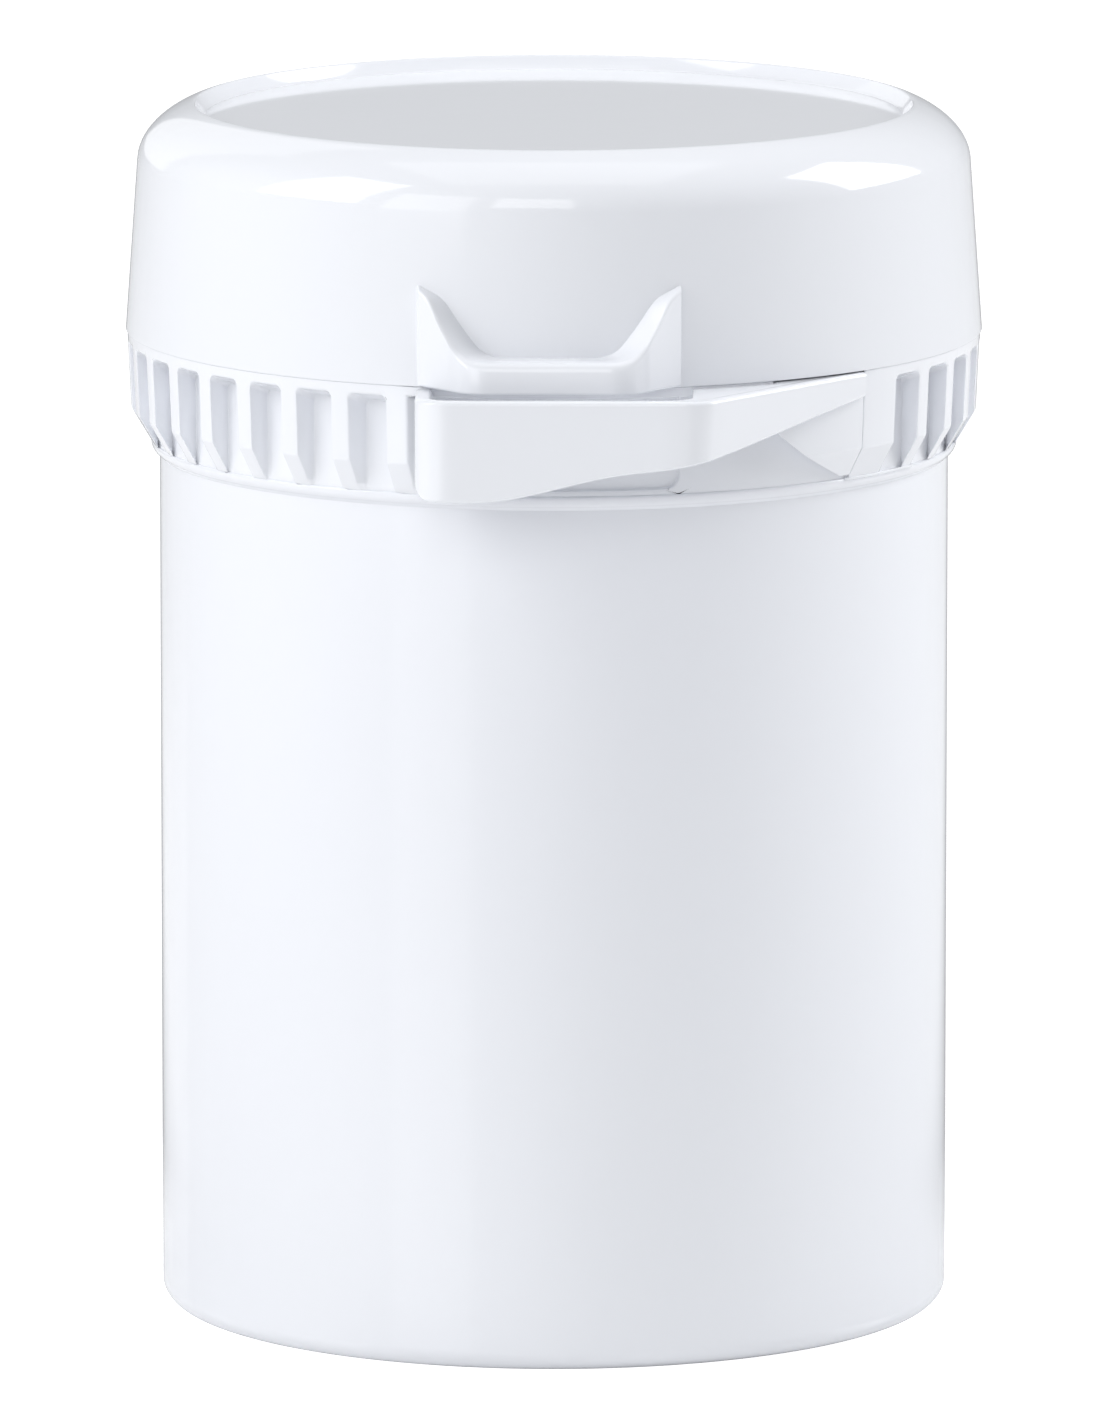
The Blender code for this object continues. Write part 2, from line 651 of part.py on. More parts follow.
def tab_underside():
    """Lower edge of the tab, seen from the front."""
    low = TAB_LOW_Z
    curve = smooth_through(
        [
            (TAB_FLAT_END_X, low),
            (TAB_KNEE_X, low + TAB_KNEE_RISE),
            (TAB_ARM_X, low + TAB_ARM_RISE),
            (TAB_ROOT_X, low + TAB_ROOT_RISE),
        ],
        TAB_EDGE_STEPS,
    )
    corner_centre = (-TAB_LEFT + TAB_LOW_CORNER, low + TAB_LOW_CORNER)
    corner = arc(corner_centre, TAB_LOW_CORNER, 180.0 * DEG, 270.0 * DEG)
    past = [(BIG, curve[-1][1]), (BIG, low - BIG), (-BIG, low - BIG), (-BIG, corner[0][1])]
    return corner + curve + past


def ramp_tool(collection):
    """Cuts the root block along a sloping edge and leans away below it."""
    low = Vector((*on_circle(CHAMFER_TOP_RADIUS, RAMP_LOW_ANGLE), COLLAR_FOOT_Z))
    high = Vector((*on_circle(CHAMFER_TOP_RADIUS, RAMP_HIGH_ANGLE), COLLAR_FOOT_Z + RAMP_RISE))
    along = (high - low).normalized()
    middle_angle = (RAMP_LOW_ANGLE + RAMP_HIGH_ANGLE) / 2.0
    outward = Vector((*on_circle(1.0, middle_angle), 0.0))
    below = outward.cross(along).normalized()
    into = below * math.cos(RAMP_LEAN) + outward * math.sin(RAMP_LEAN)
    across = into.cross(along).normalized()
    size = BIG / 2.0
    tool = block("ramp", size, collection)
    turn = Matrix((along, across, into)).transposed().to_4x4()
    centre = (low + high) / 2.0 + into * (size / 2.0)
    tool.data.transform(Matrix.Translation(centre) @ turn)
    return make_cutter(tool)


def make_root(cutters):
    """The tab's root, which fills the window's right end flush with the collar."""
    root = turned("root", collar_profile(ROOT_INNER), cutters, closed=True)
    foot = COLLAR_FOOT_Z + ROOT_FOOT
    reach = sector(
        "root_reach", ROOT_LEFT, ROOT_ANGLE, foot, TAB_TOP_Z, COLLAR_BORE, BIG, cutters
    )
    boolean(root, make_cutter(reach), "INTERSECT")
    boolean(root, ramp_tool(cutters), "DIFFERENCE")
    return make_cutter(settle(root))


def collar_space(cutters):
    """What the tab leaves clear round the collar, open where its root goes in."""
    low, high = TAB_LOW_Z - 2.0 * BIG, COLLAR_TOP_Z + BIG
    space = disc_tool("collar_space", TAB_INNER_RADIUS, low, high, cutters)
    way_in = sector("way_in", ROOT_LEFT, ROOT_ANGLE, low - BIG, high + BIG, ROOT_INNER, BIG, cutters)
    boolean(space, make_cutter(way_in), "DIFFERENCE")
    return settle(space)


def make_tab(parts, cutters, material):
    """Hollow tab: a wall, a roof over its arm and a root in the collar's window."""
    tab = slab("tear_tab", tab_wall_outline(), TAB_LOW_Z - RUN_OUT, TAB_TOP_Z, parts)
    plate_low = TAB_TOP_Z - PLATE_THICKNESS
    plate = slab("plate", tab_plate_outline(), plate_low, TAB_TOP_Z, cutters)
    boolean(tab, make_cutter(plate), "UNION")
    boolean(tab, collar_space(cutters), "DIFFERENCE")
    underside = slab("underside", tab_underside(), 0.0, BIG, cutters, upright=True)
    boolean(tab, make_cutter(underside), "DIFFERENCE")
    boolean(tab, make_root(cutters), "UNION")
    settle(tab)
    put_origin(tab, (*on_circle(TEAR_RADIUS, TEAR_ANGLE), TAB_TOP_Z))
    tab.data.materials.append(material)
    return tab


# The strap hinges

def leaf_outline(low, high, round_low):
    """One leaf from the back, rounded at the end away from the fold."""
    half = STRAP_WIDTH / 2.0
    corners = [(-half, low), (half, low), (half, high), (-half, high)]
    radii = [LEAF_ROUND, LEAF_ROUND, 0.0, 0.0] if round_low else [0.0, 0.0, LEAF_ROUND, LEAF_ROUND]
    return round_corners(corners, radii)


def make_leaf(name, middle_x, on_lid, parts, cutters, material):
    """Half of a strap, on the lid or on the collar, up to the fold."""
    if on_lid:
        low, high = LID_EDGE_Z, LID_EDGE_Z + LEAF_HEIGHT
        wall, wall_z = LID_RADIUS, LID_EDGE_Z
        slope = -SKIRT_DRAFT / SKIRT_HEIGHT
    else:
        low, high = COLLAR_TOP_Z - LEAF_HEIGHT, COLLAR_TOP_Z
        wall, wall_z = COLLAR_RADIUS, COLLAR_TOP_Z
        slope = COLLAR_DRAFT / (COLLAR_HEIGHT - CHAMFER_HEIGHT)
    leaf = slab(name, leaf_outline(low, high, not on_lid), -LEAF_FACE_Y, 0.0, parts, True)
    leaf.data.transform(Matrix.Translation((middle_x, 0.0, 0.0)))
    ends = (low - RUN_OUT, high + RUN_OUT)
    near, far = [wall + CLEARANCE + slope * (end - wall_z) for end in ends]
    seat = disc_tool(name + "_seat", near, ends[0], ends[1], cutters, far)
    boolean(leaf, seat, "DIFFERENCE")
    settle(leaf)
    if on_lid:
        put_origin(leaf, (0.0, FOLD_Y, FOLD_Z))
    leaf.data.materials.append(material)
    return leaf


def make_hinges(parts, cutters, material):
    """Two straps, each split at the fold into a collar leaf and a lid leaf."""
    for side, sign in (("left", -1.0), ("right", 1.0)):
        middle = sign * STRAP_SPACING / 2.0
        make_leaf(f"hinge_{side}_collar_leaf", middle, False, parts, cutters, material)
        make_leaf(f"hinge_{side}_lid_leaf", middle, True, parts, cutters, material)


def build():
    """Model every piece."""
    clear_scene()
    parts = new_collection("plastic_pot_with_lid")
    cutters = new_collection("cutters")
    pot_white = plastic("pot_white", (0.88, 0.89, 0.92), 0.22)
    closure_white = plastic("closure_white", (0.90, 0.91, 0.93), 0.20)
    make_pot(parts, pot_white)
    make_collar(parts, cutters, closure_white)
    make_lid(parts, cutters, closure_white)
    make_tab(parts, cutters, closure_white)
    make_hinges(parts, cutters, closure_white)


build()
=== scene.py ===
"""Looks of a round white plastic pot with a hinged snap lid and a tear-off tab.

Metres, +Z up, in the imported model's own frame: the pot stands on Z = 0 with its axis on Z,
and its front, with the lid's lug and the tear tab, is towards -Y. Angles round the axis are
measured from the front, positive towards +X.
"""

import math

import bpy
from mathutils import Matrix, Vector


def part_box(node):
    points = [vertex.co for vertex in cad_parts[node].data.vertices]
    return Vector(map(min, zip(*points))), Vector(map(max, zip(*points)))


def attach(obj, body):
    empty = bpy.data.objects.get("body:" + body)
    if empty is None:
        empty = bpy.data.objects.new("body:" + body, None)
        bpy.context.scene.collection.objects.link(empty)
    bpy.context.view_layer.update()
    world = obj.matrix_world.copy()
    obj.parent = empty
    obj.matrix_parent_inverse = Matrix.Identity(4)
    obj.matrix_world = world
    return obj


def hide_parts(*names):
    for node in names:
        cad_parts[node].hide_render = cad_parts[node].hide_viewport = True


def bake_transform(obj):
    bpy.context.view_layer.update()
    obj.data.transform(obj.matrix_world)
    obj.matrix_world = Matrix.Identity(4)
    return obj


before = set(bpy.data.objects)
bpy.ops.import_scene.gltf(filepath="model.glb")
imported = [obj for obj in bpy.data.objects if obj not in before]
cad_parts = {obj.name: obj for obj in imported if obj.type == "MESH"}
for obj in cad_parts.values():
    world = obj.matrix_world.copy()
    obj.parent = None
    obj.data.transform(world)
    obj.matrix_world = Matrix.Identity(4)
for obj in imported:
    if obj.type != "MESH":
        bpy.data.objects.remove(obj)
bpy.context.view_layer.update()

MM = 0.001
DEG = math.pi / 180.0
TINY = 0.002 * MM               # points closer than this are one point
TINY_ANGLE = 0.001

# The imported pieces' own places
POT_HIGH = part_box("pot")[1]
COLLAR_LOW, COLLAR_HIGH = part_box("collar")
LID_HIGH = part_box("lid")[1]
TAB_LOW, TAB_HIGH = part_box("tear_tab")
LEAF_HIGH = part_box("hinge_right_lid_leaf")[1]

# Fineness
TURN_STEPS = 180                # flats round a turned shape
ROUND_STEP = 9.0 * DEG          # one flat of a rounding
SMOOTH_BELOW = 32.0 * DEG       # corners sharper than this stay crisp
QUARTER = (0.0, 22.5, 45.0, 67.5, 90.0)

# Pot
POT_RADIUS = 33.0 * MM
POT_WALL = 1.6 * MM
POT_FLOOR = 1.8 * MM
HEEL_RADIUS = 1.7 * MM
FLOOR_FILLET = 3.0 * MM
NECK_WALL = 1.0 * MM
SEAT_HEIGHT = 73.15 * MM
SEAT_PROUD = 0.72 * MM
SEAT_BEAD = 0.85 * MM
SEAT_LIFT = 0.15 * MM           # up to the collar's foot, which sits in it
SEAT_ROUND = 0.2 * MM
RIM_ROUND = 0.35 * MM
RETAINING_PROUD = 0.8 * MM
RETAINING_GAP = 0.3 * MM        # left between the retaining bead and the collar
NECK_BEAD = 1.6 * MM
SNAP_PROUD = 0.45 * MM
SNAP_BELOW_RIM = 3.9 * MM

# Collar
COLLAR_GAP = 0.3 * MM           # left between the neck and the collar
COLLAR_BORE = POT_RADIUS - POT_WALL + NECK_WALL + COLLAR_GAP
COLLAR_DRAFT = 0.3 * MM
COLLAR_DROP = 0.25 * MM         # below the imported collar's foot, down to the seat bead
COLLAR_RAISE = 0.2 * MM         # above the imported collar's top
COLLAR_SPREAD = 0.12 * MM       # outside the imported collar
CHAMFER_HEIGHT = 2.5 * MM
CHAMFER_DEPTH = 1.5 * MM
CHAMFER_FOOT = 0.06 * MM        # what is left of the ribs at the foot
SLOT_FLOOR = COLLAR_BORE + 0.87 * MM
TOP_BAND = 0.85 * MM
SLOT_WIDTH = 3.42 * MM
SLOT_CORNER = 0.55 * MM
SLOT_PITCH = 8.17 * DEG
SLOTS_LEFT = 17
SLOTS_RIGHT = 13
FIRST_SLOT_LEFT = -24.9 * DEG
FIRST_SLOT_RIGHT = 55.9 * DEG
WINDOW_LEFT = -19.1 * DEG
WINDOW_RIGHT = 46.5 * DEG
NOTCH_LEFT = 31.0 * DEG
POCKET_DEPTH = 0.35 * MM
POCKET_SILL = 0.3 * MM
POCKET_CORNER = 1.2 * MM
POCKET_HALF = 10.8 * MM
COLLAR_EDGE = 0.16 * MM         # rounding of the collar's edges
COLLAR_RIM_EDGE = 0.06 * MM     # the same round its top
SLOT_CEILING = 0.8 * MM         # from a slot's top down to the top of its floor
SLIDE_REACH = 29.0 * DEG        # the slots' walls run along the mould's slide this far to each side
LIP_START = 46.0 * DEG          # thin lip under the collar, right of the tab's root
LIP_END = 61.8 * DEG
LIP_RADIUS = 33.88 * MM
LIP_HEIGHT = 0.24 * MM
COLLAR_FLAT = 2.0 * DEG         # one flat of the plain stretches

# Lid
LID_GAP = 0.02 * MM             # left between the lid's edge and the collar
LID_EDGE_ROUND = 0.06 * MM
LID_WALL = 1.4 * MM
SKIRT_DRAFT = 1.0 * MM
SHOULDER_HEIGHT = 4.95 * MM
SHOULDER_WIDTH = 5.25 * MM
SHOULDER_POWER = 1.4            # 1 would be a quarter of an ellipse
SHOULDER_STEPS = 16
SHOULDER_START = 2.8 * DEG
SHOULDER_END = 78.0 * DEG
LIP_ROUND = 0.25 * MM
RECESS_DEPTH = 1.1 * MM
RECESS_DRAFT = 0.55 * MM
RECESS_FILLET = 0.2 * MM
PANEL_THICKNESS = 1.4 * MM
RING_GAP = 2.0 * MM
RING_WIDTH = 0.9 * MM
RING_DEPTH = 0.8 * MM
LID_BEAD_PROUD = 0.25 * MM
LID_BEAD = 1.4 * MM
LID_BEAD_BELOW_RIM = 7.0 * MM

# Lug on the lid's front
LUG_REACH = 3.5 * MM
LUG_HALF_WIDTH = 10.8 * MM
LUG_FRONT_HALF = 6.6 * MM
LUG_CORNER = 3.2 * MM
LUG_SHELF = 2.6 * MM
LUG_SHELF_HALF = 3.55 * MM
LUG_FILLET = 3.2 * MM
LUG_SLOPE = 47.3 * DEG
LUG_EAR = 7.36 * MM
LUG_EAR_ROUND = 3.7 * MM
LUG_TIP = 8.4 * MM
LUG_TIP_HALF = 12.8 * MM
LUG_FLARE = 0.12 / MM           # widening of the saddle for each millimetre outwards
LUG_EDGE = 0.28 * MM            # rounding of the lug's edges
LUG_BROW = 0.7 * MM             # the same along the front of its shelf
LUG_CHEEK_ROUND = 0.6 * MM
LUG_LEAN = 0.14                 # of the shelf's front, back from upright
LUG_STEP = 0.25 * MM            # between sections of the lug
LUG_LIFT = 0.02 * MM            # its lower side above the lid's edge
LUG_SHELF_FADE = 1.5 * MM       # above the shelf, where its lean and brow have died out
LUG_SEARCH_STEP = 0.02 * MM
LUG_INTO_CHEEK = 0.7            # how far the lug goes into the lid's wall, as shares of it
LUG_INTO_FOOT = 0.8
LUG_INTO_TOP = 0.9

# Tear tab
TAB_WALL = 1.4 * MM
TAB_LEFT = 10.9 * MM
TAB_HEIGHT = 8.35 * MM
TAB_RAISE = 0.15 * MM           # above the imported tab's top
TAB_CORNER = 2.75 * MM
TAB_LOW_CORNER = 1.0 * MM
TAB_BEND_X = 12.8 * MM
TAB_BEND_ROUND = 3.0 * MM
TAB_EDGE = 0.35 * MM
TAB_STEP = 0.5 * MM             # between sections of the tab
TAB_FLAT_END_X = -6.0 * MM
TAB_KNEE = (6.0 * MM, 2.25 * MM)
TAB_ARM = (11.5 * MM, 2.9 * MM)
TAB_ROOT_RISE = 6.3 * MM
TAB_ROOT_PROUD = 0.5 * MM
TAB_ROOT_ANGLE = 45.9 * DEG
TAB_CLEARANCE = 0.3 * MM
TAB_LEAN = 0.09                 # of the arm, back from upright towards its foot
TAB_LEAN_END = 4.0 * MM         # over this length before the root the lean dies out
PLATE_START_X = 11.7 * MM
PLATE_THICKNESS = 1.2 * MM
PLATE_FILLET = 1.9 * MM
PLATE_EDGE = 0.15 * MM
PLATE_SINK = 0.02 * MM          # its top under the tab's
ROOT_LEFT = 31.53 * DEG
ROOT_RIGHT = 46.46 * DEG
ROOT_INNER = 33.6 * MM
ROOT_FOOT = 0.1 * MM
ROOT_EDGE = 0.12 * MM
ROOT_SINK = 0.01 * MM
RAMP_LOW_ANGLE = 41.9 * DEG
RAMP_HIGH_ANGLE = 32.2 * DEG
RAMP_RISE = 4.36 * MM
RAMP_LEAN = -30.0 * DEG

# Hinge straps
STRAP_WIDTH = 6.0 * MM
STRAP_SPACING = 11.0 * MM
STRAP_LENGTH = 4.6 * MM         # above the fold, and below it
STRAP_CORNER = 0.8 * MM
STRAP_EDGE = 0.2 * MM
STRAP_BACK = 2.3 * MM           # from its outer face to inside the walls that it joins
FOLD_DEPTH = 0.4 * MM
FOLD_HALF = 0.6 * MM
FOLD_STEPS = 4                  # cuts across each half of the fold
FOLD_FLAT = 0.25                # share of each half that is as thin as the web
FOLD_Z = 82.415 * MM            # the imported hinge's axis

# Cutters
FAR = 60.0 * MM                 # reach of a cutter that has to pass right through

# Plastic: paler and deeper tone, range of roughness, strength of the ripple
DRIFT_SCALE = 14.0              # of the slow change between the two tones
DRIFT_START = 0.35
DRIFT_END = 0.65
CLOUD_SCALE = 55.0              # of the change in gloss
CLOUD_DETAIL = 4.0
RIPPLE_SCALE = 420.0
RIPPLE_DETAIL = 2.0
RIPPLE_HEIGHT = 0.02 * MM
PLASTIC_IOR = 1.5
POT_PLASTIC = ((0.85, 0.865, 0.905), (0.84, 0.855, 0.90), (0.07, 0.11), 0.12)
CLOSURE_PLASTIC = ((0.86, 0.873, 0.91), (0.85, 0.865, 0.905), (0.06, 0.1), 0.1)

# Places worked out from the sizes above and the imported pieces
RIM_Z = POT_HIGH.z
BORE_RADIUS = POT_RADIUS - POT_WALL
NECK_RADIUS = BORE_RADIUS + NECK_WALL
COLLAR_FOOT_Z = COLLAR_LOW.z - COLLAR_DROP
COLLAR_TOP_Z = COLLAR_HIGH.z + COLLAR_RAISE
COLLAR_RADIUS = COLLAR_HIGH.x + COLLAR_SPREAD
CHAMFER_TOP_Z = COLLAR_LOW.z + CHAMFER_HEIGHT
LID_RADIUS = LID_HIGH.x
LID_EDGE_Z = COLLAR_TOP_Z + LID_GAP
CREST_Z = LID_HIGH.z
SHOULDER_Z = CREST_Z - SHOULDER_HEIGHT * math.sin(SHOULDER_END)
SHOULDER_RADIUS = LID_RADIUS - SKIRT_DRAFT
PANEL_Z = CREST_Z - RECESS_DEPTH
UNDERSIDE_Z = PANEL_Z - PANEL_THICKNESS
LUG_FRONT = LID_RADIUS + LUG_REACH
TAB_FRONT = -TAB_LOW.y
TAB_TOP_Z = TAB_HIGH.z + TAB_RAISE
TAB_LOW_Z = TAB_TOP_Z - TAB_HEIGHT
TAB_INNER_RADIUS = COLLAR_RADIUS + TAB_CLEARANCE
STRAP_FACE = LEAF_HIGH.y

# Camera, as the photograph was taken
CAMERA_DISTANCE = 1.4
CAMERA_HEIGHT = 0.288
CAMERA_TURN = 0.65 * DEG
CAMERA_DIP = 9.6486 * DEG
CAMERA_LENS = 429.27
CAMERA_SHIFT = 0.0004
CAMERA_SENSOR = 36.0
CAMERA_FAR = 20.0

# Surroundings
WORLD_COLOUR = (0.95, 0.97, 1.0, 1.0)
WORLD_STRENGTH = 0.37

# Lights: azimuth from the front in degrees, distance, heights of foot and top, width, power
PANELS = [
    ("left_panel", -71.0, 0.8, 0.22, 1.25, 0.48, 5.6),
    ("right_panel", 106.0, 0.8, 0.25, 1.0, 0.48, 7.2),
    ("left_front_panel", -35.0, 1.2, 0.1, 1.1, 0.5, 2.6),
    ("far_left_rear_panel", -150.0, 0.9, 0.1, 1.1, 0.5, 0.9),
    ("front_panel", -5.0, 1.5, 0.5, 1.3, 0.6, 3.55),
]
TOP_SIZE = 0.9
TOP_HEIGHT = 1.3
TOP_POWER = 2.0

# Floor: pale, with a patch of painted shade behind the pot that stands in for dim surroundings in the
# pot's reflections and bounce light; the pot hides it from the camera
FLOOR_SIZE = 12.0
FLOOR_PALE = 0.9
# painted shade: the floor's darkest tone, in the patch behind the pot
FLOOR_PAINTED_SHADE = 0.15
FLOOR_GLOW = 0.065
FLOOR_SEEN = 1.0                # glow of the floor as the camera sees it
FLOOR_GLOSS = 0.12              # roughness of the floor, except as the camera sees it
SHADE_PATCH_START = (0.08, 0.02)      # distances behind the axis over which the patch begins
SHADE_PATCH_SIDE = (0.035, 0.075)     # distances from its middle line over which it ends
SHADE_PATCH_FAN = 0.14                # widening for each metre further back


# Modelling helpers

def only(thing):
    """Leave edit mode, select one piece and make it active."""
    if bpy.context.mode != "OBJECT":
        bpy.ops.object.mode_set(mode="OBJECT")
    bpy.ops.object.select_all(action="DESELECT")
    thing.select_set(True)
    bpy.context.view_layer.objects.active = thing


def chain(name, points):
    """One vertex, extruded from point to point. Leaves the piece in edit mode."""
    bpy.ops.object.select_all(action="DESELECT")
    bpy.ops.mesh.primitive_plane_add(size=MM)
    thing = bpy.context.object
    thing.name = name
    thing.data.name = name
    bpy.ops.object.mode_set(mode="EDIT")
    bpy.ops.mesh.select_mode(type="VERT")
    bpy.ops.mesh.merge(type="CENTER")
    bpy.ops.transform.translate(value=points[0])
    for before, after in zip(points, points[1:]):
        extrude(Vector(after) - Vector(before))
    return thing


def extrude(step):
    """Extrude what is selected and move it."""
    bpy.ops.mesh.extrude_region_move(TRANSFORM_OT_translate={"value": step})


def close_up():
    """Merge what meets and turn all faces outwards. Leaves edit mode."""
    bpy.ops.mesh.select_all(action="SELECT")
    bpy.ops.mesh.remove_doubles(threshold=TINY)
    bpy.ops.mesh.normals_make_consistent(inside=False)
    bpy.ops.object.mode_set(mode="OBJECT")


def pick(thing, kind, test):
    """Select the faces or edges that pass a test, in edit mode."""
    only(thing)
    bpy.ops.object.mode_set(mode="EDIT")
    bpy.ops.mesh.select_mode(type=kind)
    bpy.ops.mesh.select_all(action="DESELECT")
    bpy.ops.object.mode_set(mode="OBJECT")
    items = thing.data.polygons if kind == "FACE" else thing.data.edges
    for item in items:
        item.select = test(item)
    bpy.ops.object.mode_set(mode="EDIT")


def edge_ends(thing, edge):
    """The places of an edge's two ends."""
    return [thing.data.vertices[i].co for i in edge.vertices]


def bevel_edges(thing, test, width, segments):
    """Round the edges that pass a test. Leaves the piece in edit mode."""
    pick(thing, "EDGE", test)
    bpy.ops.mesh.bevel(offset=width, segments=segments, affect="EDGES", clamp_overlap=False)


def add_modifier(thing, kind, **settings):
    """Add a modifier and apply it."""
    only(thing)
    modifier = thing.modifiers.new(kind.lower(), kind)
    for key, value in settings.items():
        setattr(modifier, key, value)
    bpy.ops.object.modifier_apply(modifier=modifier.name)


def smooth(thing):
    """Smooth shading that keeps flat faces flat and crisp corners crisp."""
    only(thing)
    bpy.ops.object.shade_smooth_by_angle(angle=SMOOTH_BELOW)
    add_modifier(thing, "WEIGHTED_NORMAL", keep_sharp=True)


def on_circle(radius, angle):
    """A point at an angle from the front."""
    return radius * math.sin(angle), -radius * math.cos(angle)


def arc(centre, radius, start, end, step=ROUND_STEP):
    """Points along an arc, both ends included."""
    count = max(2, round(abs(end - start) / step) + 1)
    points = []
    for i in range(count):
        angle = start + (end - start) * i / (count - 1)
        points.append((centre[0] + radius * math.cos(angle), centre[1] + radius * math.sin(angle)))
    return points


def turned(name, outline):
    """Spin an outline of (radius, height) about the pot's axis."""
    thing = chain(name, [(radius, 0.0, z) for radius, z in outline])
    bpy.ops.mesh.select_all(action="SELECT")
    bpy.ops.mesh.spin(steps=TURN_STEPS, angle=360.0 * DEG, center=(0, 0, 0), axis=(0, 0, 1))
    close_up()
    return thing


def prism(name, outline, step):
    """A closed outline, filled and extruded."""
    thing = chain(name, outline)
    bpy.ops.mesh.select_all(action="SELECT")
    bpy.ops.mesh.edge_face_add()
    extrude(step)
    close_up()
    return thing


def flat_prism(name, outline, low, high):
    """An outline of (x, y) raised from one height to another."""
    return prism(name, [(x, y, low) for x, y in outline], (0.0, 0.0, high - low))


def upright_prism(name, outline, near, far):
    """An outline of (x, z) pushed from a distance in front of the axis further forward."""
    return prism(name, [(x, -near, z) for x, z in outline], (0.0, near - far, 0.0))


def wedge(name, outline, start, end):
    """A closed outline of (radius, height) turned from one angle to another."""
    thing = chain(name, [(*on_circle(radius, start), z) for radius, z in outline])
    bpy.ops.mesh.select_all(action="SELECT")
    bpy.ops.mesh.edge_face_add()
    steps = max(2, round((end - start) / (360.0 * DEG / TURN_STEPS)))
    bpy.ops.mesh.spin(steps=steps, angle=start - end, center=(0, 0, 0), axis=(0, 0, 1))
    close_up()
    return thing


def combine(thing, other, operation):
    """Cut, join or keep what two solids share. The second one is used up."""
    add_modifier(thing, "BOOLEAN", operation=operation, object=other, solver="EXACT")
    bpy.data.objects.remove(other, do_unlink=True)


def soften(thing, width, segments, above):
    """Round every edge sharper than an angle."""
    add_modifier(
        thing,
        "BEVEL",
        width=width,
        segments=segments,
        limit_method="ANGLE",
        angle_limit=above,
        use_clamp_overlap=False,
        miter_outer="MITER_ARC",
    )


def round_corners(points, radii):
    """Replace corners of a closed outline by arcs."""
    result = []
    count = len(points)
    for i, (point, radius) in enumerate(zip(points, radii)):
        here = Vector(point)
        if radius <= 0.0:
            result.append(tuple(here))
            continue
        back = (Vector(points[i - 1]) - here).normalized()
        ahead = (Vector(points[(i + 1) % count]) - here).normalized()
        half = back.angle(ahead) / 2.0
        centre = here + (back + ahead).normalized() * (radius / math.sin(half))
        first = here + back * (radius / math.tan(half)) - centre
        last = here + ahead * (radius / math.tan(half)) - centre
        start = math.atan2(first.y, first.x)
        turn = (math.atan2(last.y, last.x) - start + math.pi) % (2.0 * math.pi) - math.pi
        result += arc(centre, radius, start, start + turn)
    return result


def bead(radius, middle, height, proud):
    """A low round ridge on a wall, from its upper end down."""
    points = []
    for angle, z in arc((0.0, 0.0), 1.0, 90.0 * DEG, -90.0 * DEG, 15.0 * DEG):
        points.append((radius + proud * angle, middle + height / 2.0 * z))
    return points


# Materials

def moulded_skin():
    """Faint unevenness of moulded plastic: a value for the gloss and a surface normal."""
    group = bpy.data.node_groups.new("moulded_skin", "ShaderNodeTree")
    for name in ("Gloss Low", "Gloss High", "Ripple"):
        group.interface.new_socket(name, in_out="INPUT", socket_type="NodeSocketFloat")
    group.interface.new_socket("Roughness", in_out="OUTPUT", socket_type="NodeSocketFloat")
    group.interface.new_socket("Normal", in_out="OUTPUT", socket_type="NodeSocketVector")
    nodes = group.nodes
    links = group.links
    inward = nodes.new("NodeGroupInput")
    outward = nodes.new("NodeGroupOutput")
    place = nodes.new("ShaderNodeTexCoord")
    clouds = nodes.new("ShaderNodeTexNoise")
    clouds.inputs["Scale"].default_value = CLOUD_SCALE
    clouds.inputs["Detail"].default_value = CLOUD_DETAIL
    spread = nodes.new("ShaderNodeMapRange")
    ripples = nodes.new("ShaderNodeTexNoise")
    ripples.inputs["Scale"].default_value = RIPPLE_SCALE
    ripples.inputs["Detail"].default_value = RIPPLE_DETAIL
    bump = nodes.new("ShaderNodeBump")
    bump.inputs["Distance"].default_value = RIPPLE_HEIGHT
    links.new(place.outputs["Object"], clouds.inputs["Vector"])
    links.new(place.outputs["Object"], ripples.inputs["Vector"])
    links.new(clouds.outputs["Fac"], spread.inputs["Value"])
    links.new(inward.outputs["Gloss Low"], spread.inputs["To Min"])
    links.new(inward.outputs["Gloss High"], spread.inputs["To Max"])
    links.new(ripples.outputs["Fac"], bump.inputs["Height"])
    links.new(inward.outputs["Ripple"], bump.inputs["Strength"])
    links.new(spread.outputs["Result"], outward.inputs["Roughness"])
    links.new(bump.outputs["Normal"], outward.inputs["Normal"])
    return group


def plastic(name, skin, pale, deep, gloss, ripple):
    """Milky moulded plastic whose colour drifts a little between two tones."""
    material = bpy.data.materials.new(name)
    material.use_nodes = True
    nodes = material.node_tree.nodes
    links = material.node_tree.links
    shader = nodes["Principled BSDF"]
    shader.inputs["IOR"].default_value = PLASTIC_IOR
    place = nodes.new("ShaderNodeTexCoord")
    drift = nodes.new("ShaderNodeTexNoise")
    drift.inputs["Scale"].default_value = DRIFT_SCALE
    ramp = nodes.new("ShaderNodeValToRGB")
    ramp.color_ramp.elements[0].position = DRIFT_START
    ramp.color_ramp.elements[1].position = DRIFT_END
    ramp.color_ramp.elements[0].color = (*deep, 1.0)
    ramp.color_ramp.elements[1].color = (*pale, 1.0)
    links.new(place.outputs["Object"], drift.inputs["Vector"])
    links.new(drift.outputs["Fac"], ramp.inputs["Fac"])
    links.new(ramp.outputs["Color"], shader.inputs["Base Color"])
    surface = nodes.new("ShaderNodeGroup")
    surface.node_tree = skin
    surface.inputs["Gloss Low"].default_value = gloss[0]
    surface.inputs["Gloss High"].default_value = gloss[1]
    surface.inputs["Ripple"].default_value = ripple
    links.new(surface.outputs["Roughness"], shader.inputs["Roughness"])
    links.new(surface.outputs["Normal"], shader.inputs["Normal"])
    return material


def dress(thing, material, body, nodes):
    """Give a finished piece its material, its body and the nodes that it stands for."""
    thing.data.materials.clear()
    thing.data.materials.append(material)
    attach(thing, body)
    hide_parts(*nodes)


# The pot

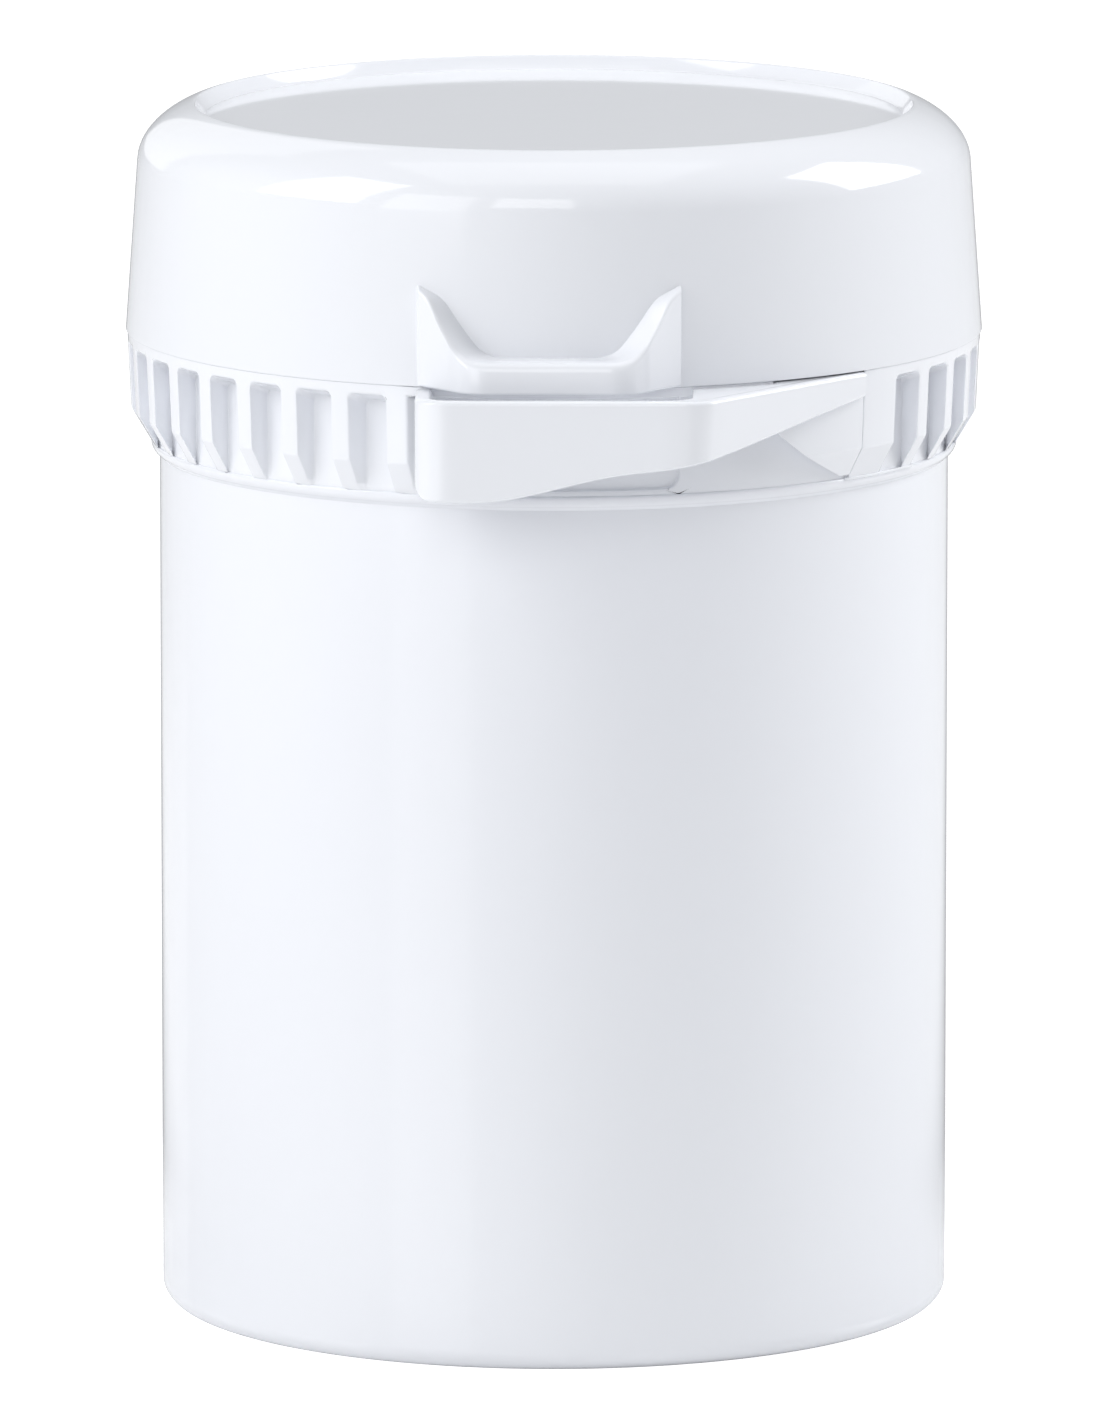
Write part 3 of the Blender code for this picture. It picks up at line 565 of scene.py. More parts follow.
def pot_outline():
    """Inside of the floor, up the bore, over the rim and down the outside."""
    outline = [(0.0, POT_FLOOR)]
    outline += arc(
        (BORE_RADIUS - FLOOR_FILLET, POT_FLOOR + FLOOR_FILLET), FLOOR_FILLET, -90.0 * DEG, 0.0
    )
    outline += arc((BORE_RADIUS + RIM_ROUND, RIM_Z - RIM_ROUND), RIM_ROUND, 180.0 * DEG, 90.0 * DEG)
    outline += arc((NECK_RADIUS - RIM_ROUND, RIM_Z - RIM_ROUND), RIM_ROUND, 90.0 * DEG, 0.0)
    outline += bead(NECK_RADIUS, RIM_Z - SNAP_BELOW_RIM, NECK_BEAD, SNAP_PROUD)
    keeper = COLLAR_TOP_Z + RETAINING_GAP + NECK_BEAD / 2.0
    outline += bead(NECK_RADIUS, keeper, NECK_BEAD, RETAINING_PROUD)
    seat = SEAT_HEIGHT + SEAT_LIFT
    outline += [(NECK_RADIUS, seat)]
    ledge = (POT_RADIUS + SEAT_PROUD - SEAT_ROUND, seat - SEAT_ROUND)
    outline += arc(ledge, SEAT_ROUND, 90.0 * DEG, 0.0, 22.5 * DEG)
    for across, down in arc((0.0, 0.0), 1.0, 12.0 * DEG, 72.0 * DEG, 12.0 * DEG):
        outline += [(POT_RADIUS + SEAT_PROUD * across, seat - SEAT_ROUND - SEAT_BEAD * down)]
    outline += [(POT_RADIUS, seat - SEAT_ROUND - SEAT_BEAD * 1.25)]
    outline += arc((POT_RADIUS - HEEL_RADIUS, HEEL_RADIUS), HEEL_RADIUS, 0.0, -90.0 * DEG)
    outline += [(0.0, 0.0)]
    return outline


# The collar

def collar_angles():
    """Angles of all upright lines that the flat strip is cut along."""
    slots = [FIRST_SLOT_LEFT - SLOT_PITCH * i for i in range(SLOTS_LEFT)]
    slots += [FIRST_SLOT_RIGHT + SLOT_PITCH * i for i in range(SLOTS_RIGHT)]
    half = SLOT_WIDTH / COLLAR_RADIUS / 2.0
    pocket = POCKET_HALF / SLOT_FLOOR
    lines = [NOTCH_LEFT, WINDOW_LEFT, WINDOW_RIGHT, -pocket, pocket]
    for middle in slots:
        lines += [middle - half, middle, middle + half]
    marks = sorted(lines + [-180.0 * DEG, 180.0 * DEG])
    for low, high in zip(marks, marks[1:]):
        count = int((high - low) / COLLAR_FLAT)
        lines += [low + (high - low) * i / (count + 1) for i in range(1, count + 1)]
    return slots, half, sorted(lines)


def make_strip(lines, levels):
    """The collar unrolled: a flat strip, cut along all its upright and level lines."""
    bpy.ops.object.select_all(action="DESELECT")
    middle = (0.0, -(COLLAR_BORE + SLOT_FLOOR) / 2.0, (COLLAR_FOOT_Z + COLLAR_TOP_Z) / 2.0)
    bpy.ops.mesh.primitive_cube_add(size=1.0, location=middle)
    strip = bpy.context.object
    strip.name = "collar_ring"
    strip.scale = (
        360.0 * DEG * COLLAR_RADIUS, SLOT_FLOOR - COLLAR_BORE, COLLAR_TOP_Z - COLLAR_FOOT_Z
    )
    bpy.ops.object.transform_apply(location=True, rotation=True, scale=True)
    bpy.ops.object.mode_set(mode="EDIT")
    for angle in lines:
        bpy.ops.mesh.select_all(action="SELECT")
        bpy.ops.mesh.bisect(plane_co=(angle * COLLAR_RADIUS, 0, 0), plane_no=(1, 0, 0))
    for z in levels:
        bpy.ops.mesh.select_all(action="SELECT")
        bpy.ops.mesh.bisect(plane_co=(0, 0, z), plane_no=(0, 0, 1))
    return strip


def roll_up(strip, slot_top):
    """Roll the strip round the neck, with the ribs' chamfer and the slots' slanted walls."""
    bpy.ops.object.mode_set(mode="OBJECT")
    for vertex in strip.data.vertices:
        x, y, z = vertex.co
        radius = -y
        angle = x / COLLAR_RADIUS
        beside_window = not WINDOW_LEFT + TINY_ANGLE < angle < WINDOW_RIGHT + TINY_ANGLE
        if radius > COLLAR_RADIUS - TINY:
            radius = collar_radius(z)
        elif radius > SLOT_FLOOR - TINY and beside_window:
            angle = slid(angle)
            if slot_top - SLOT_CORNER - TINY < z < slot_top + TINY:
                z -= SLOT_CEILING
        vertex.co = (*on_circle(radius, angle), z)
    bpy.ops.object.mode_set(mode="EDIT")
    close_up()


def make_collar():
    """Ribbed ring: a flat strip whose ribs are raised, rolled up round the neck."""
    slots, half, lines = collar_angles()
    pocket = POCKET_HALF / SLOT_FLOOR
    slot_top = COLLAR_TOP_Z - TOP_BAND
    sill = COLLAR_LOW.z + POCKET_SILL
    strip = make_strip(lines, (slot_top, sill, CHAMFER_TOP_Z))

    def in_window(face):
        angle = face.center.x / COLLAR_RADIUS
        if not WINDOW_LEFT < angle < WINDOW_RIGHT:
            return False
        return angle > NOTCH_LEFT or face.center.z < slot_top

    def in_slot(face):
        angle = face.center.x / COLLAR_RADIUS
        return face.center.z < slot_top and any(abs(angle - slot) < half for slot in slots)

    def outside(face):
        return face.normal.y < -0.9

    def in_pocket(face):
        level = sill < face.center.z < slot_top
        return outside(face) and level and abs(face.center.x / COLLAR_RADIUS) < pocket

    def raised(face):
        return outside(face) and not in_window(face) and not in_slot(face)

    def slot_corner(edge):
        start, end = edge_ends(strip, edge)
        if abs(start.y - end.y) < 1.0 * MM or abs(start.z - slot_top) > TINY:
            return False
        angle = start.x / COLLAR_RADIUS
        return any(abs(abs(angle - slot) - half) < TINY_ANGLE for slot in slots)

    def pocket_corner(edge):
        start, end = edge_ends(strip, edge)
        deep = abs(start.y - end.y) > POCKET_DEPTH / 2.0
        level = abs(start.z - sill) < TINY
        return deep and level and abs(abs(start.x / COLLAR_RADIUS) - pocket) < TINY_ANGLE

    def rim(edge):
        ends = edge_ends(strip, edge)
        return all(end.z > COLLAR_TOP_Z - TINY and end.xy.length > SLOT_FLOOR + MM for end in ends)

    pick(strip, "FACE", in_pocket)
    extrude((0.0, POCKET_DEPTH, 0.0))
    pick(strip, "FACE", raised)
    extrude((0.0, SLOT_FLOOR - COLLAR_RADIUS, 0.0))
    bevel_edges(strip, slot_corner, SLOT_CORNER, 4)
    bevel_edges(strip, pocket_corner, POCKET_CORNER, 6)
    seam = 180.0 * DEG * COLLAR_RADIUS - TINY
    pick(strip, "FACE", lambda face: abs(face.center.x) > seam)
    bpy.ops.mesh.delete(type="FACE")
    roll_up(strip, slot_top)
    bevel_edges(strip, rim, COLLAR_RIM_EDGE, 5)
    soften(strip, COLLAR_EDGE, 2, 25.0 * DEG)
    smooth(strip)
    return strip


def slid(angle):
    """Where a slot's wall that leaves the outside at an angle meets the floor."""
    quarter = 90.0 * DEG
    slide = (math.floor(angle / quarter) + 0.5) * quarter
    off = angle - slide
    if abs(off) > SLIDE_REACH:
        left = (quarter / 2.0 - abs(off)) / (quarter / 2.0 - SLIDE_REACH)
        off = math.copysign(SLIDE_REACH * left, off)
    return angle + math.asin(COLLAR_RADIUS * math.sin(off) / SLOT_FLOOR) - off


def make_lip():
    """A short thin lip between the collar and the seat bead."""
    low = COLLAR_FOOT_Z - LIP_HEIGHT * 0.4
    outline = [(POT_RADIUS, low), (LIP_RADIUS, low), (LIP_RADIUS, low + LIP_HEIGHT)]
    lip = wedge("collar_lip", outline + [(POT_RADIUS, low + LIP_HEIGHT)], LIP_START, LIP_END)
    soften(lip, LIP_HEIGHT * 0.25, 2, 40.0 * DEG)
    smooth(lip)
    return lip


def collar_radius(z):
    """Outside of the ribs at a height: a slight draft above a chamfered foot."""
    above = z - CHAMFER_TOP_Z
    if above >= 0.0:
        return COLLAR_RADIUS - COLLAR_DRAFT * (1.0 - above / (COLLAR_TOP_Z - CHAMFER_TOP_Z))
    radius = COLLAR_RADIUS - COLLAR_DRAFT + CHAMFER_DEPTH * above / CHAMFER_HEIGHT
    return max(radius, SLOT_FLOOR + CHAMFER_FOOT)


# The lid

def skirt_radius(z):
    """Outside of the skirt at a height."""
    return LID_RADIUS - SKIRT_DRAFT * (z - LID_EDGE_Z) / (SHOULDER_Z - LID_EDGE_Z)


def shoulder(inset, start, end):
    """The shoulder's curve from the skirt up, or a curve inside it."""
    points = []
    for i in range(SHOULDER_STEPS + 1):
        angle = start + (end - start) * i / SHOULDER_STEPS
        width = (SHOULDER_WIDTH - inset) * math.cos(angle) ** SHOULDER_POWER
        height = (SHOULDER_HEIGHT - inset) * math.sin(angle)
        points.append((SHOULDER_RADIUS - SHOULDER_WIDTH + width, SHOULDER_Z + height))
    return points


def lid_outline():
    """Sunk panel, shoulder, skirt, and the same again inside."""
    outer = shoulder(0.0, SHOULDER_START, SHOULDER_END)
    crest = outer[-1][0]
    panel = crest - LIP_ROUND - RECESS_DRAFT
    outline = [(0.0, PANEL_Z), (panel - RECESS_FILLET, PANEL_Z)]
    outline += [(panel + RECESS_FILLET * 0.35, PANEL_Z + RECESS_FILLET)]
    lip = arc((crest, CREST_Z - LIP_ROUND), LIP_ROUND, 155.0 * DEG, 100.0 * DEG)
    outline += lip + list(reversed(outer))
    low = LID_EDGE_Z + LID_EDGE_ROUND
    outline += arc((LID_RADIUS - LID_EDGE_ROUND, low), LID_EDGE_ROUND, 0.0, -90.0 * DEG)
    inside = LID_RADIUS - LID_WALL
    outline += [(inside, LID_EDGE_Z)]
    bead_z = RIM_Z - LID_BEAD_BELOW_RIM
    wall = skirt_radius(bead_z) - LID_WALL
    outline += list(reversed(bead(wall, bead_z, LID_BEAD, -LID_BEAD_PROUD)))
    inner_end = math.asin((UNDERSIDE_Z - SHOULDER_Z) / (SHOULDER_HEIGHT - LID_WALL))
    outline += shoulder(LID_WALL, SHOULDER_START, inner_end)
    ring = BORE_RADIUS - RING_GAP
    ring_z = UNDERSIDE_Z - RING_DEPTH
    outline += [(ring, UNDERSIDE_Z), (ring, ring_z), (ring - RING_WIDTH, ring_z)]
    outline += [(ring - RING_WIDTH, UNDERSIDE_Z), (0.0, UNDERSIDE_Z)]
    return outline


def lug_plan():
    """The lug's outer edge from above, from inside the skirt at its left to its right."""
    cheek = math.sqrt(LID_RADIUS**2 - LUG_HALF_WIDTH**2)
    back = cheek - LID_WALL * LUG_INTO_CHEEK
    side = [(LUG_HALF_WIDTH, -back), (LUG_HALF_WIDTH, -cheek), (LUG_FRONT_HALF, -LUG_FRONT)]
    side += [(0.0, -LUG_FRONT), (0.0, -back)]
    side = round_corners(side, [0.0, LUG_CHEEK_ROUND, LUG_CORNER, 0.0, 0.0])[:-1]
    points = []
    for here, after in zip(side, side[1:]):
        count = max(1, round((Vector(after) - Vector(here)).length / LUG_STEP))
        points += [Vector(here).lerp(Vector(after), i / count) for i in range(count)]
    points.append(Vector(side[-1]))
    left = [Vector((-point.x, point.y)) for point in points[:-1]]
    return left + list(reversed(points))


def saddle_height(x, y):
    """Height of the lug's upper side: a level shelf that curves up to an ear."""
    across = abs(x) / (1.0 + LUG_FLARE * (-y - SHOULDER_RADIUS))
    turn_x = LUG_SHELF_HALF + LUG_FILLET * math.tan(LUG_SLOPE / 2.0)
    ear_x = turn_x + (LUG_EAR - LUG_SHELF) / math.tan(LUG_SLOPE)
    marks = [(0.0, LUG_SHELF), (turn_x, LUG_SHELF), (ear_x, LUG_EAR)]
    marks += [(LUG_TIP_HALF, LUG_TIP), (LUG_TIP_HALF * 1.5, LUG_TIP)]
    curve = round_corners(marks, [0.0, LUG_FILLET, LUG_EAR_ROUND, 0.0, 0.0])
    for before, after in zip(curve, curve[1:]):
        if before[0] <= across <= after[0]:
            part = (across - before[0]) / (after[0] - before[0])
            return LID_EDGE_Z + before[1] + (after[1] - before[1]) * part
    return LID_EDGE_Z + LUG_TIP


def inside_skirt(outer, radius):
    """Where a section of the lug ends, inside the skirt's wall."""
    flare = LUG_FLARE * outer.x / (1.0 + LUG_FLARE * (-outer.y - SHOULDER_RADIUS))
    inner = Vector(outer)
    while inner.length > radius:
        inner += Vector((-flare, 1.0)) * LUG_SEARCH_STEP
    return inner


def lug_section(outer):
    """One section of the lug: along its lower side, up its front and back over the saddle."""
    low = LID_EDGE_Z + LUG_LIFT
    high = saddle_height(outer.x, outer.y)
    foot = inside_skirt(outer, LID_RADIUS - LID_WALL * LUG_INTO_FOOT)
    inner = inside_skirt(outer, skirt_radius(high) - LID_WALL * LUG_INTO_TOP)
    inward = (inner - outer).normalized()
    edge = min(LUG_EDGE, (foot - outer).length * 0.4)
    level = max(0.0, 1.0 - (high - LID_EDGE_Z - LUG_SHELF) / LUG_SHELF_FADE)
    brow = edge + (LUG_BROW - LUG_EDGE) * level
    points = [(foot, low)]
    for turn in QUARTER:
        back = inward * edge * (1.0 - math.sin(turn * DEG))
        points.append((outer + back, low + edge - edge * math.cos(turn * DEG)))
    leant = outer + inward * (LUG_LEAN * level * (high - low))
    for turn in QUARTER:
        back = inward * brow * (1.0 - math.cos(turn * DEG))
        points.append((leant + back, high - brow + brow * math.sin(turn * DEG)))
    points += [((leant + inward * brow).lerp(inner, i / 3.0), high) for i in range(1, 4)]
    points.append(points[0])
    return [(place.x, place.y, z) for place, z in points]


def loft(name, sections):
    """A grid whose rows are closed sections, with its two ends filled."""
    rows, columns = len(sections), len(sections[0])
    bpy.ops.object.select_all(action="DESELECT")
    bpy.ops.mesh.primitive_grid_add(x_subdivisions=columns - 1, y_subdivisions=rows - 1, size=1.0)
    thing = bpy.context.object
    thing.name = name
    places = [point for section in sections for point in section]
    for vertex, place in zip(thing.data.vertices, places):
        vertex.co = place
    bpy.ops.object.mode_set(mode="EDIT")
    bpy.ops.mesh.select_all(action="SELECT")
    bpy.ops.mesh.remove_doubles(threshold=TINY)
    bpy.ops.mesh.fill_holes(sides=0)
    close_up()
    return thing


def make_lid():
    """Turned lid with the lug joined on."""
    lid = turned("lid_shell", lid_outline())
    lug = loft("lug", [lug_section(outer) for outer in lug_plan()])
    combine(lid, lug, "UNION")
    smooth(lid)
    return lid


# The tear tab

def tab_face(distance):
    """The tab's outer face from above, or the same face moved inwards."""
    root_x, root_y = on_circle(COLLAR_RADIUS + TAB_ROOT_PROUD, TAB_ROOT_ANGLE)
    arm = Vector((root_x - TAB_BEND_X, root_y + TAB_FRONT)).normalized()
    inward = Vector((-arm.y, arm.x)) * distance
    front = -TAB_FRONT + distance
    start = Vector((TAB_BEND_X, -TAB_FRONT)) + inward
    bend = start + arm * ((front - start.y) / arm.y)
    root = Vector((root_x, root_y)) + inward
    left = -TAB_LEFT + distance
    return [(left, root_y), (left, front), (bend.x, bend.y), (root.x, root.y)]


def tab_sections():
    """Sections of the tab's wall, from its free end round its corner to its root."""
    outer = round_corners(tab_face(0.0), [0.0, TAB_CORNER, TAB_BEND_ROUND, 0.0])
    radii = [0.0, TAB_CORNER - TAB_WALL, TAB_BEND_ROUND + TAB_WALL, 0.0]
    inner = round_corners(tab_face(TAB_WALL), radii)
    for side in (outer, inner):
        side[0] = (side[0][0], -math.sqrt(TAB_INNER_RADIUS**2 - side[0][0] ** 2))
    pairs = []
    for i in range(len(outer) - 1):
        starts = Vector(outer[i]), Vector(inner[i])
        ends = Vector(outer[i + 1]), Vector(inner[i + 1])
        count = max(1, round((ends[0] - starts[0]).length / TAB_STEP))
        for k in range(count):
            pairs.append([start.lerp(end, k / count) for start, end in zip(starts, ends)])
    pairs.append([Vector(outer[-1]), Vector(inner[-1])])
    underside = tab_underside()
    return [tab_section(out, back, underside) for out, back in pairs]


def tab_section(out, back, underside):
    """One section of the wall, with its four edges rounded. The arm's foot is set back."""
    across = Vector(tab_face(1.0)[3]) - Vector(tab_face(0.0)[3])
    share = min(1.0, max(0.0, (out.x - TAB_BEND_X + TAB_BEND_ROUND) / TAB_BEND_ROUND))
    share *= min(1.0, max(0.0, (tab_face(0.0)[3][0] - out.x) / TAB_LEAN_END))
    edge = TAB_EDGE / TAB_WALL
    corners = [(0.0, level_at(underside, out.x), 180.0), (1.0, level_at(underside, back.x), 270.0)]
    corners += [(1.0, TAB_TOP_Z, 0.0), (0.0, TAB_TOP_Z, 90.0)]
    points = []
    for along, z, start in corners:
        middle = along + (edge if along == 0.0 else -edge)
        height = z + (TAB_EDGE if z < TAB_TOP_Z else -TAB_EDGE)
        for i in range(5):
            angle = (start + 22.5 * i) * DEG
            place = out.lerp(back, middle + edge * math.cos(angle))
            level = height + TAB_EDGE * math.sin(angle)
            place += across * (share * TAB_LEAN * (TAB_TOP_Z - level))
            points.append((place.x, place.y, level))
    return points + [points[0]]


def level_at(curve, x):
    """Height of a curve of (x, z) at a place across the tab."""
    for before, after in zip(curve, curve[1:]):
        if before[0] <= x <= after[0]:
            part = (x - before[0]) / max(after[0] - before[0], TINY)
            return before[1] + (after[1] - before[1]) * part
    return curve[0][1] if x < curve[0][0] else curve[-1][1]


def tab_underside():
    """Lower edge of the tab, seen from the front."""
    low = TAB_LOW_Z
    marks = [
        (TAB_FLAT_END_X, low),
        (TAB_KNEE[0], low + TAB_KNEE[1]),
        (TAB_ARM[0], low + TAB_ARM[1]),
        (tab_face(0.0)[3][0], low + TAB_ROOT_RISE),
    ]
    centre = (-TAB_LEFT + TAB_LOW_CORNER, low + TAB_LOW_CORNER)
    corner = arc(centre, TAB_LOW_CORNER, 180.0 * DEG, 270.0 * DEG)
    return corner + smooth_through(marks, 8)


def make_plate():
    """The roof over the arm, from inside its wall back to the collar and into the root."""
    inner = tab_face(TAB_WALL)
    middle = tab_face(TAB_WALL / 2.0)
    fillet_x = PLATE_START_X - PLATE_FILLET
    outline = arc((fillet_x, inner[1][1] + PLATE_FILLET), PLATE_FILLET, -90.0 * DEG, 0.0)
    start = math.asin(PLATE_START_X / TAB_INNER_RADIUS)
    outline += [on_circle(TAB_INNER_RADIUS, start + (ROOT_LEFT - start) * i / 8.0) for i in range(9)]
    inside = (ROOT_INNER + COLLAR_RADIUS) / 2.0
    end = ROOT_RIGHT - 1.5 * DEG
    outline += [on_circle(inside, ROOT_LEFT + 1.0 * DEG), on_circle(inside, end)]
    outline += [middle[3], middle[2], (fillet_x, middle[1][1])]
    top = TAB_TOP_Z - PLATE_SINK
    plate = flat_prism("plate", outline, top - PLATE_THICKNESS, top)
    soften(plate, PLATE_EDGE, 2, 40.0 * DEG)
    return plate


def smooth_through(marks, steps):
    """A curve that passes through all marks without overshooting."""
    spans = [b[0] - a[0] for a, b in zip(marks, marks[1:])]
    slopes = [(b[1] - a[1]) / (b[0] - a[0]) for a, b in zip(marks, marks[1:])]
    tangents = [0.0]
    for before, after, w0, w1 in zip(slopes, slopes[1:], spans, spans[1:]):
        if before * after <= 0.0:
            tangents.append(0.0)
            continue
        a, b = 2.0 * w1 + w0, w1 + 2.0 * w0
        tangents.append((a + b) / (a / before + b / after))
    tangents.append(slopes[-1])
    points = [marks[0]]
    for i, span in enumerate(spans):
        for k in range(1, steps + 1):
            t = k / steps
            rise = marks[i][1] * (2 * t**3 - 3 * t**2 + 1) + marks[i + 1][1] * (3 * t**2 - 2 * t**3)
            rise += span * (tangents[i] * (t**3 - 2 * t**2 + t) + tangents[i + 1] * (t**3 - t**2))
            points.append((marks[i][0] + span * t, rise))
    return points


def root_outline():
    """Cross-section of the root, flush with the collar."""
    foot = COLLAR_LOW.z + ROOT_FOOT
    top = TAB_TOP_Z - ROOT_SINK
    outline = [(ROOT_INNER, top), (collar_radius(top), top)]
    outline += [(collar_radius(CHAMFER_TOP_Z), CHAMFER_TOP_Z)]
    return outline + [(collar_radius(foot), foot), (ROOT_INNER, foot)]


def make_ramp():
    """Cuts the root block along a sloping edge and leans away below it."""
    radius = collar_radius(CHAMFER_TOP_Z)
    low = Vector((*on_circle(radius, RAMP_LOW_ANGLE), COLLAR_LOW.z))
    high = Vector((*on_circle(radius, RAMP_HIGH_ANGLE), COLLAR_LOW.z + RAMP_RISE))
    along = (high - low).normalized()
    outward = Vector((*on_circle(1.0, (RAMP_LOW_ANGLE + RAMP_HIGH_ANGLE) / 2.0), 0.0))
    below = outward.cross(along).normalized()
    into = below * math.cos(RAMP_LEAN) + outward * math.sin(RAMP_LEAN)
    across = into.cross(along).normalized()
    size = FAR / 2.0
    turn = Matrix((along, across, into)).transposed().to_euler()
    centre = (low + high) / 2.0 + into * (size / 2.0)
    bpy.ops.object.select_all(action="DESELECT")
    bpy.ops.mesh.primitive_cube_add(size=size, location=centre, rotation=turn)
    return bpy.context.object


def make_root():
    """The tab's root, which fills the window's right end flush with the collar."""
    root = wedge("root", root_outline(), ROOT_LEFT, ROOT_RIGHT)
    combine(root, make_ramp(), "DIFFERENCE")
    soften(root, ROOT_EDGE, 2, 25.0 * DEG)
    return root


def make_tab():
    """Hollow tab: a wall, a roof over its arm and a root in the collar's window."""
    tab = loft("tab", tab_sections())
    combine(tab, make_plate(), "UNION")
    combine(tab, make_root(), "UNION")
    smooth(tab)
    return tab


# The strap hinges

def make_strap(name, middle_x):
    """A strap from the collar to the lid, thinned from inside where it folds."""
    half = STRAP_WIDTH / 2.0
    low = COLLAR_TOP_Z - STRAP_LENGTH
    high = LID_EDGE_Z + STRAP_LENGTH
    corners = [
        (middle_x - half, low), (middle_x + half, low), (middle_x + half, high), (middle_x - half, high)
    ]
    outline = round_corners(corners, [STRAP_CORNER] * 4)
    strap = upright_prism(name, outline, STRAP_BACK - STRAP_FACE, -STRAP_FACE)
    soften(strap, STRAP_EDGE, 3, 30.0 * DEG)
    only(strap)
    bpy.ops.object.mode_set(mode="EDIT")
    for step in range(-FOLD_STEPS, FOLD_STEPS + 1):
        bpy.ops.mesh.select_all(action="SELECT")
        z = FOLD_Z + FOLD_HALF * step / FOLD_STEPS
        bpy.ops.mesh.bisect(plane_co=(0, 0, z), plane_no=(0, 0, 1))
    bpy.ops.object.mode_set(mode="OBJECT")
    for vertex in strap.data.vertices:
        off = abs(vertex.co.z - FOLD_Z) / FOLD_HALF
        if off < 1.01:
            rise = max(0.0, off - FOLD_FLAT) / (1.0 - FOLD_FLAT)
            web = FOLD_DEPTH + (STRAP_BACK - FOLD_DEPTH) * rise
            vertex.co.y = max(vertex.co.y, STRAP_FACE - web)
    smooth(strap)
    return strap


# Stage

def map_range(nodes, source, target):
    """A node that maps one range of values onto another."""
    node = nodes.new("ShaderNodeMapRange")
    for socket, value in zip(("From Min", "From Max", "To Min", "To Max"), (*source, *target)):
        node.inputs[socket].default_value = value
    return node


def sum_node(nodes, operation, factor):
    """A node that does one sum with a fixed second value."""
    node = nodes.new("ShaderNodeMath")
    node.operation = operation
    node.inputs[1].default_value = factor
    return node


def painted_shade_floor_tone(nodes, links):
    """Pale all over, but darkened by painted shade in a fan-shaped patch behind the pot."""
    place = nodes.new("ShaderNodeTexCoord")
    apart = nodes.new("ShaderNodeSeparateXYZ")
    aside = sum_node(nodes, "ABSOLUTE", 0.0)
    fan = sum_node(nodes, "MULTIPLY_ADD", -SHADE_PATCH_FAN)
    beside = map_range(nodes, SHADE_PATCH_SIDE, (FLOOR_PAINTED_SHADE, FLOOR_PALE))
    ahead = map_range(nodes, SHADE_PATCH_START, (0.0, 1.0))
    pale = sum_node(nodes, "MULTIPLY", FLOOR_PALE)
    tone = sum_node(nodes, "MAXIMUM", 0.0)
    links.new(place.outputs["Object"], apart.inputs["Vector"])
    links.new(apart.outputs["X"], aside.inputs[0])
    links.new(apart.outputs["Y"], fan.inputs[0])
    links.new(aside.outputs["Value"], fan.inputs[2])
    links.new(fan.outputs["Value"], beside.inputs["Value"])
    links.new(apart.outputs["Y"], ahead.inputs["Value"])
    links.new(ahead.outputs["Result"], pale.inputs[0])
    links.new(pale.outputs["Value"], tone.inputs[0])
    links.new(beside.outputs["Result"], tone.inputs[1])
    return tone.outputs["Value"]


def make_floor():
    """White floor, lit from below like a photographer's table, with painted shade behind the pot."""
    bpy.ops.object.select_all(action="DESELECT")
    bpy.ops.mesh.primitive_plane_add(size=FLOOR_SIZE)
    floor = bpy.context.object
    floor.name = "floor"
    material = bpy.data.materials.new("floor_white")
    material.use_nodes = True
    nodes = material.node_tree.nodes
    links = material.node_tree.links
    shader = nodes["Principled BSDF"]
    shader.inputs["Emission Strength"].default_value = 1.0
    # the floor's colour carries painted shade in the patch behind the pot
    links.new(painted_shade_floor_tone(nodes, links), shader.inputs["Base Color"])
    sight = nodes.new("ShaderNodeLightPath")
    glow = map_range(nodes, (0.0, 1.0), (FLOOR_GLOW, FLOOR_SEEN))
    gloss = map_range(nodes, (0.0, 1.0), (FLOOR_GLOSS, 1.0))
    for effect, socket in ((glow, "Emission Color"), (gloss, "Roughness")):
        links.new(sight.outputs["Is Camera Ray"], effect.inputs["Value"])
        links.new(effect.outputs["Result"], shader.inputs[socket])
    floor.data.materials.append(material)


def panel(name, place, size, power):
    """A rectangular light that faces the pot."""
    data = bpy.data.lights.new(name, "AREA")
    data.shape = "RECTANGLE"
    data.size, data.size_y = size
    data.energy = power
    light = bpy.data.objects.new(name, data)
    bpy.context.scene.collection.objects.link(light)
    light.location = place
    return light


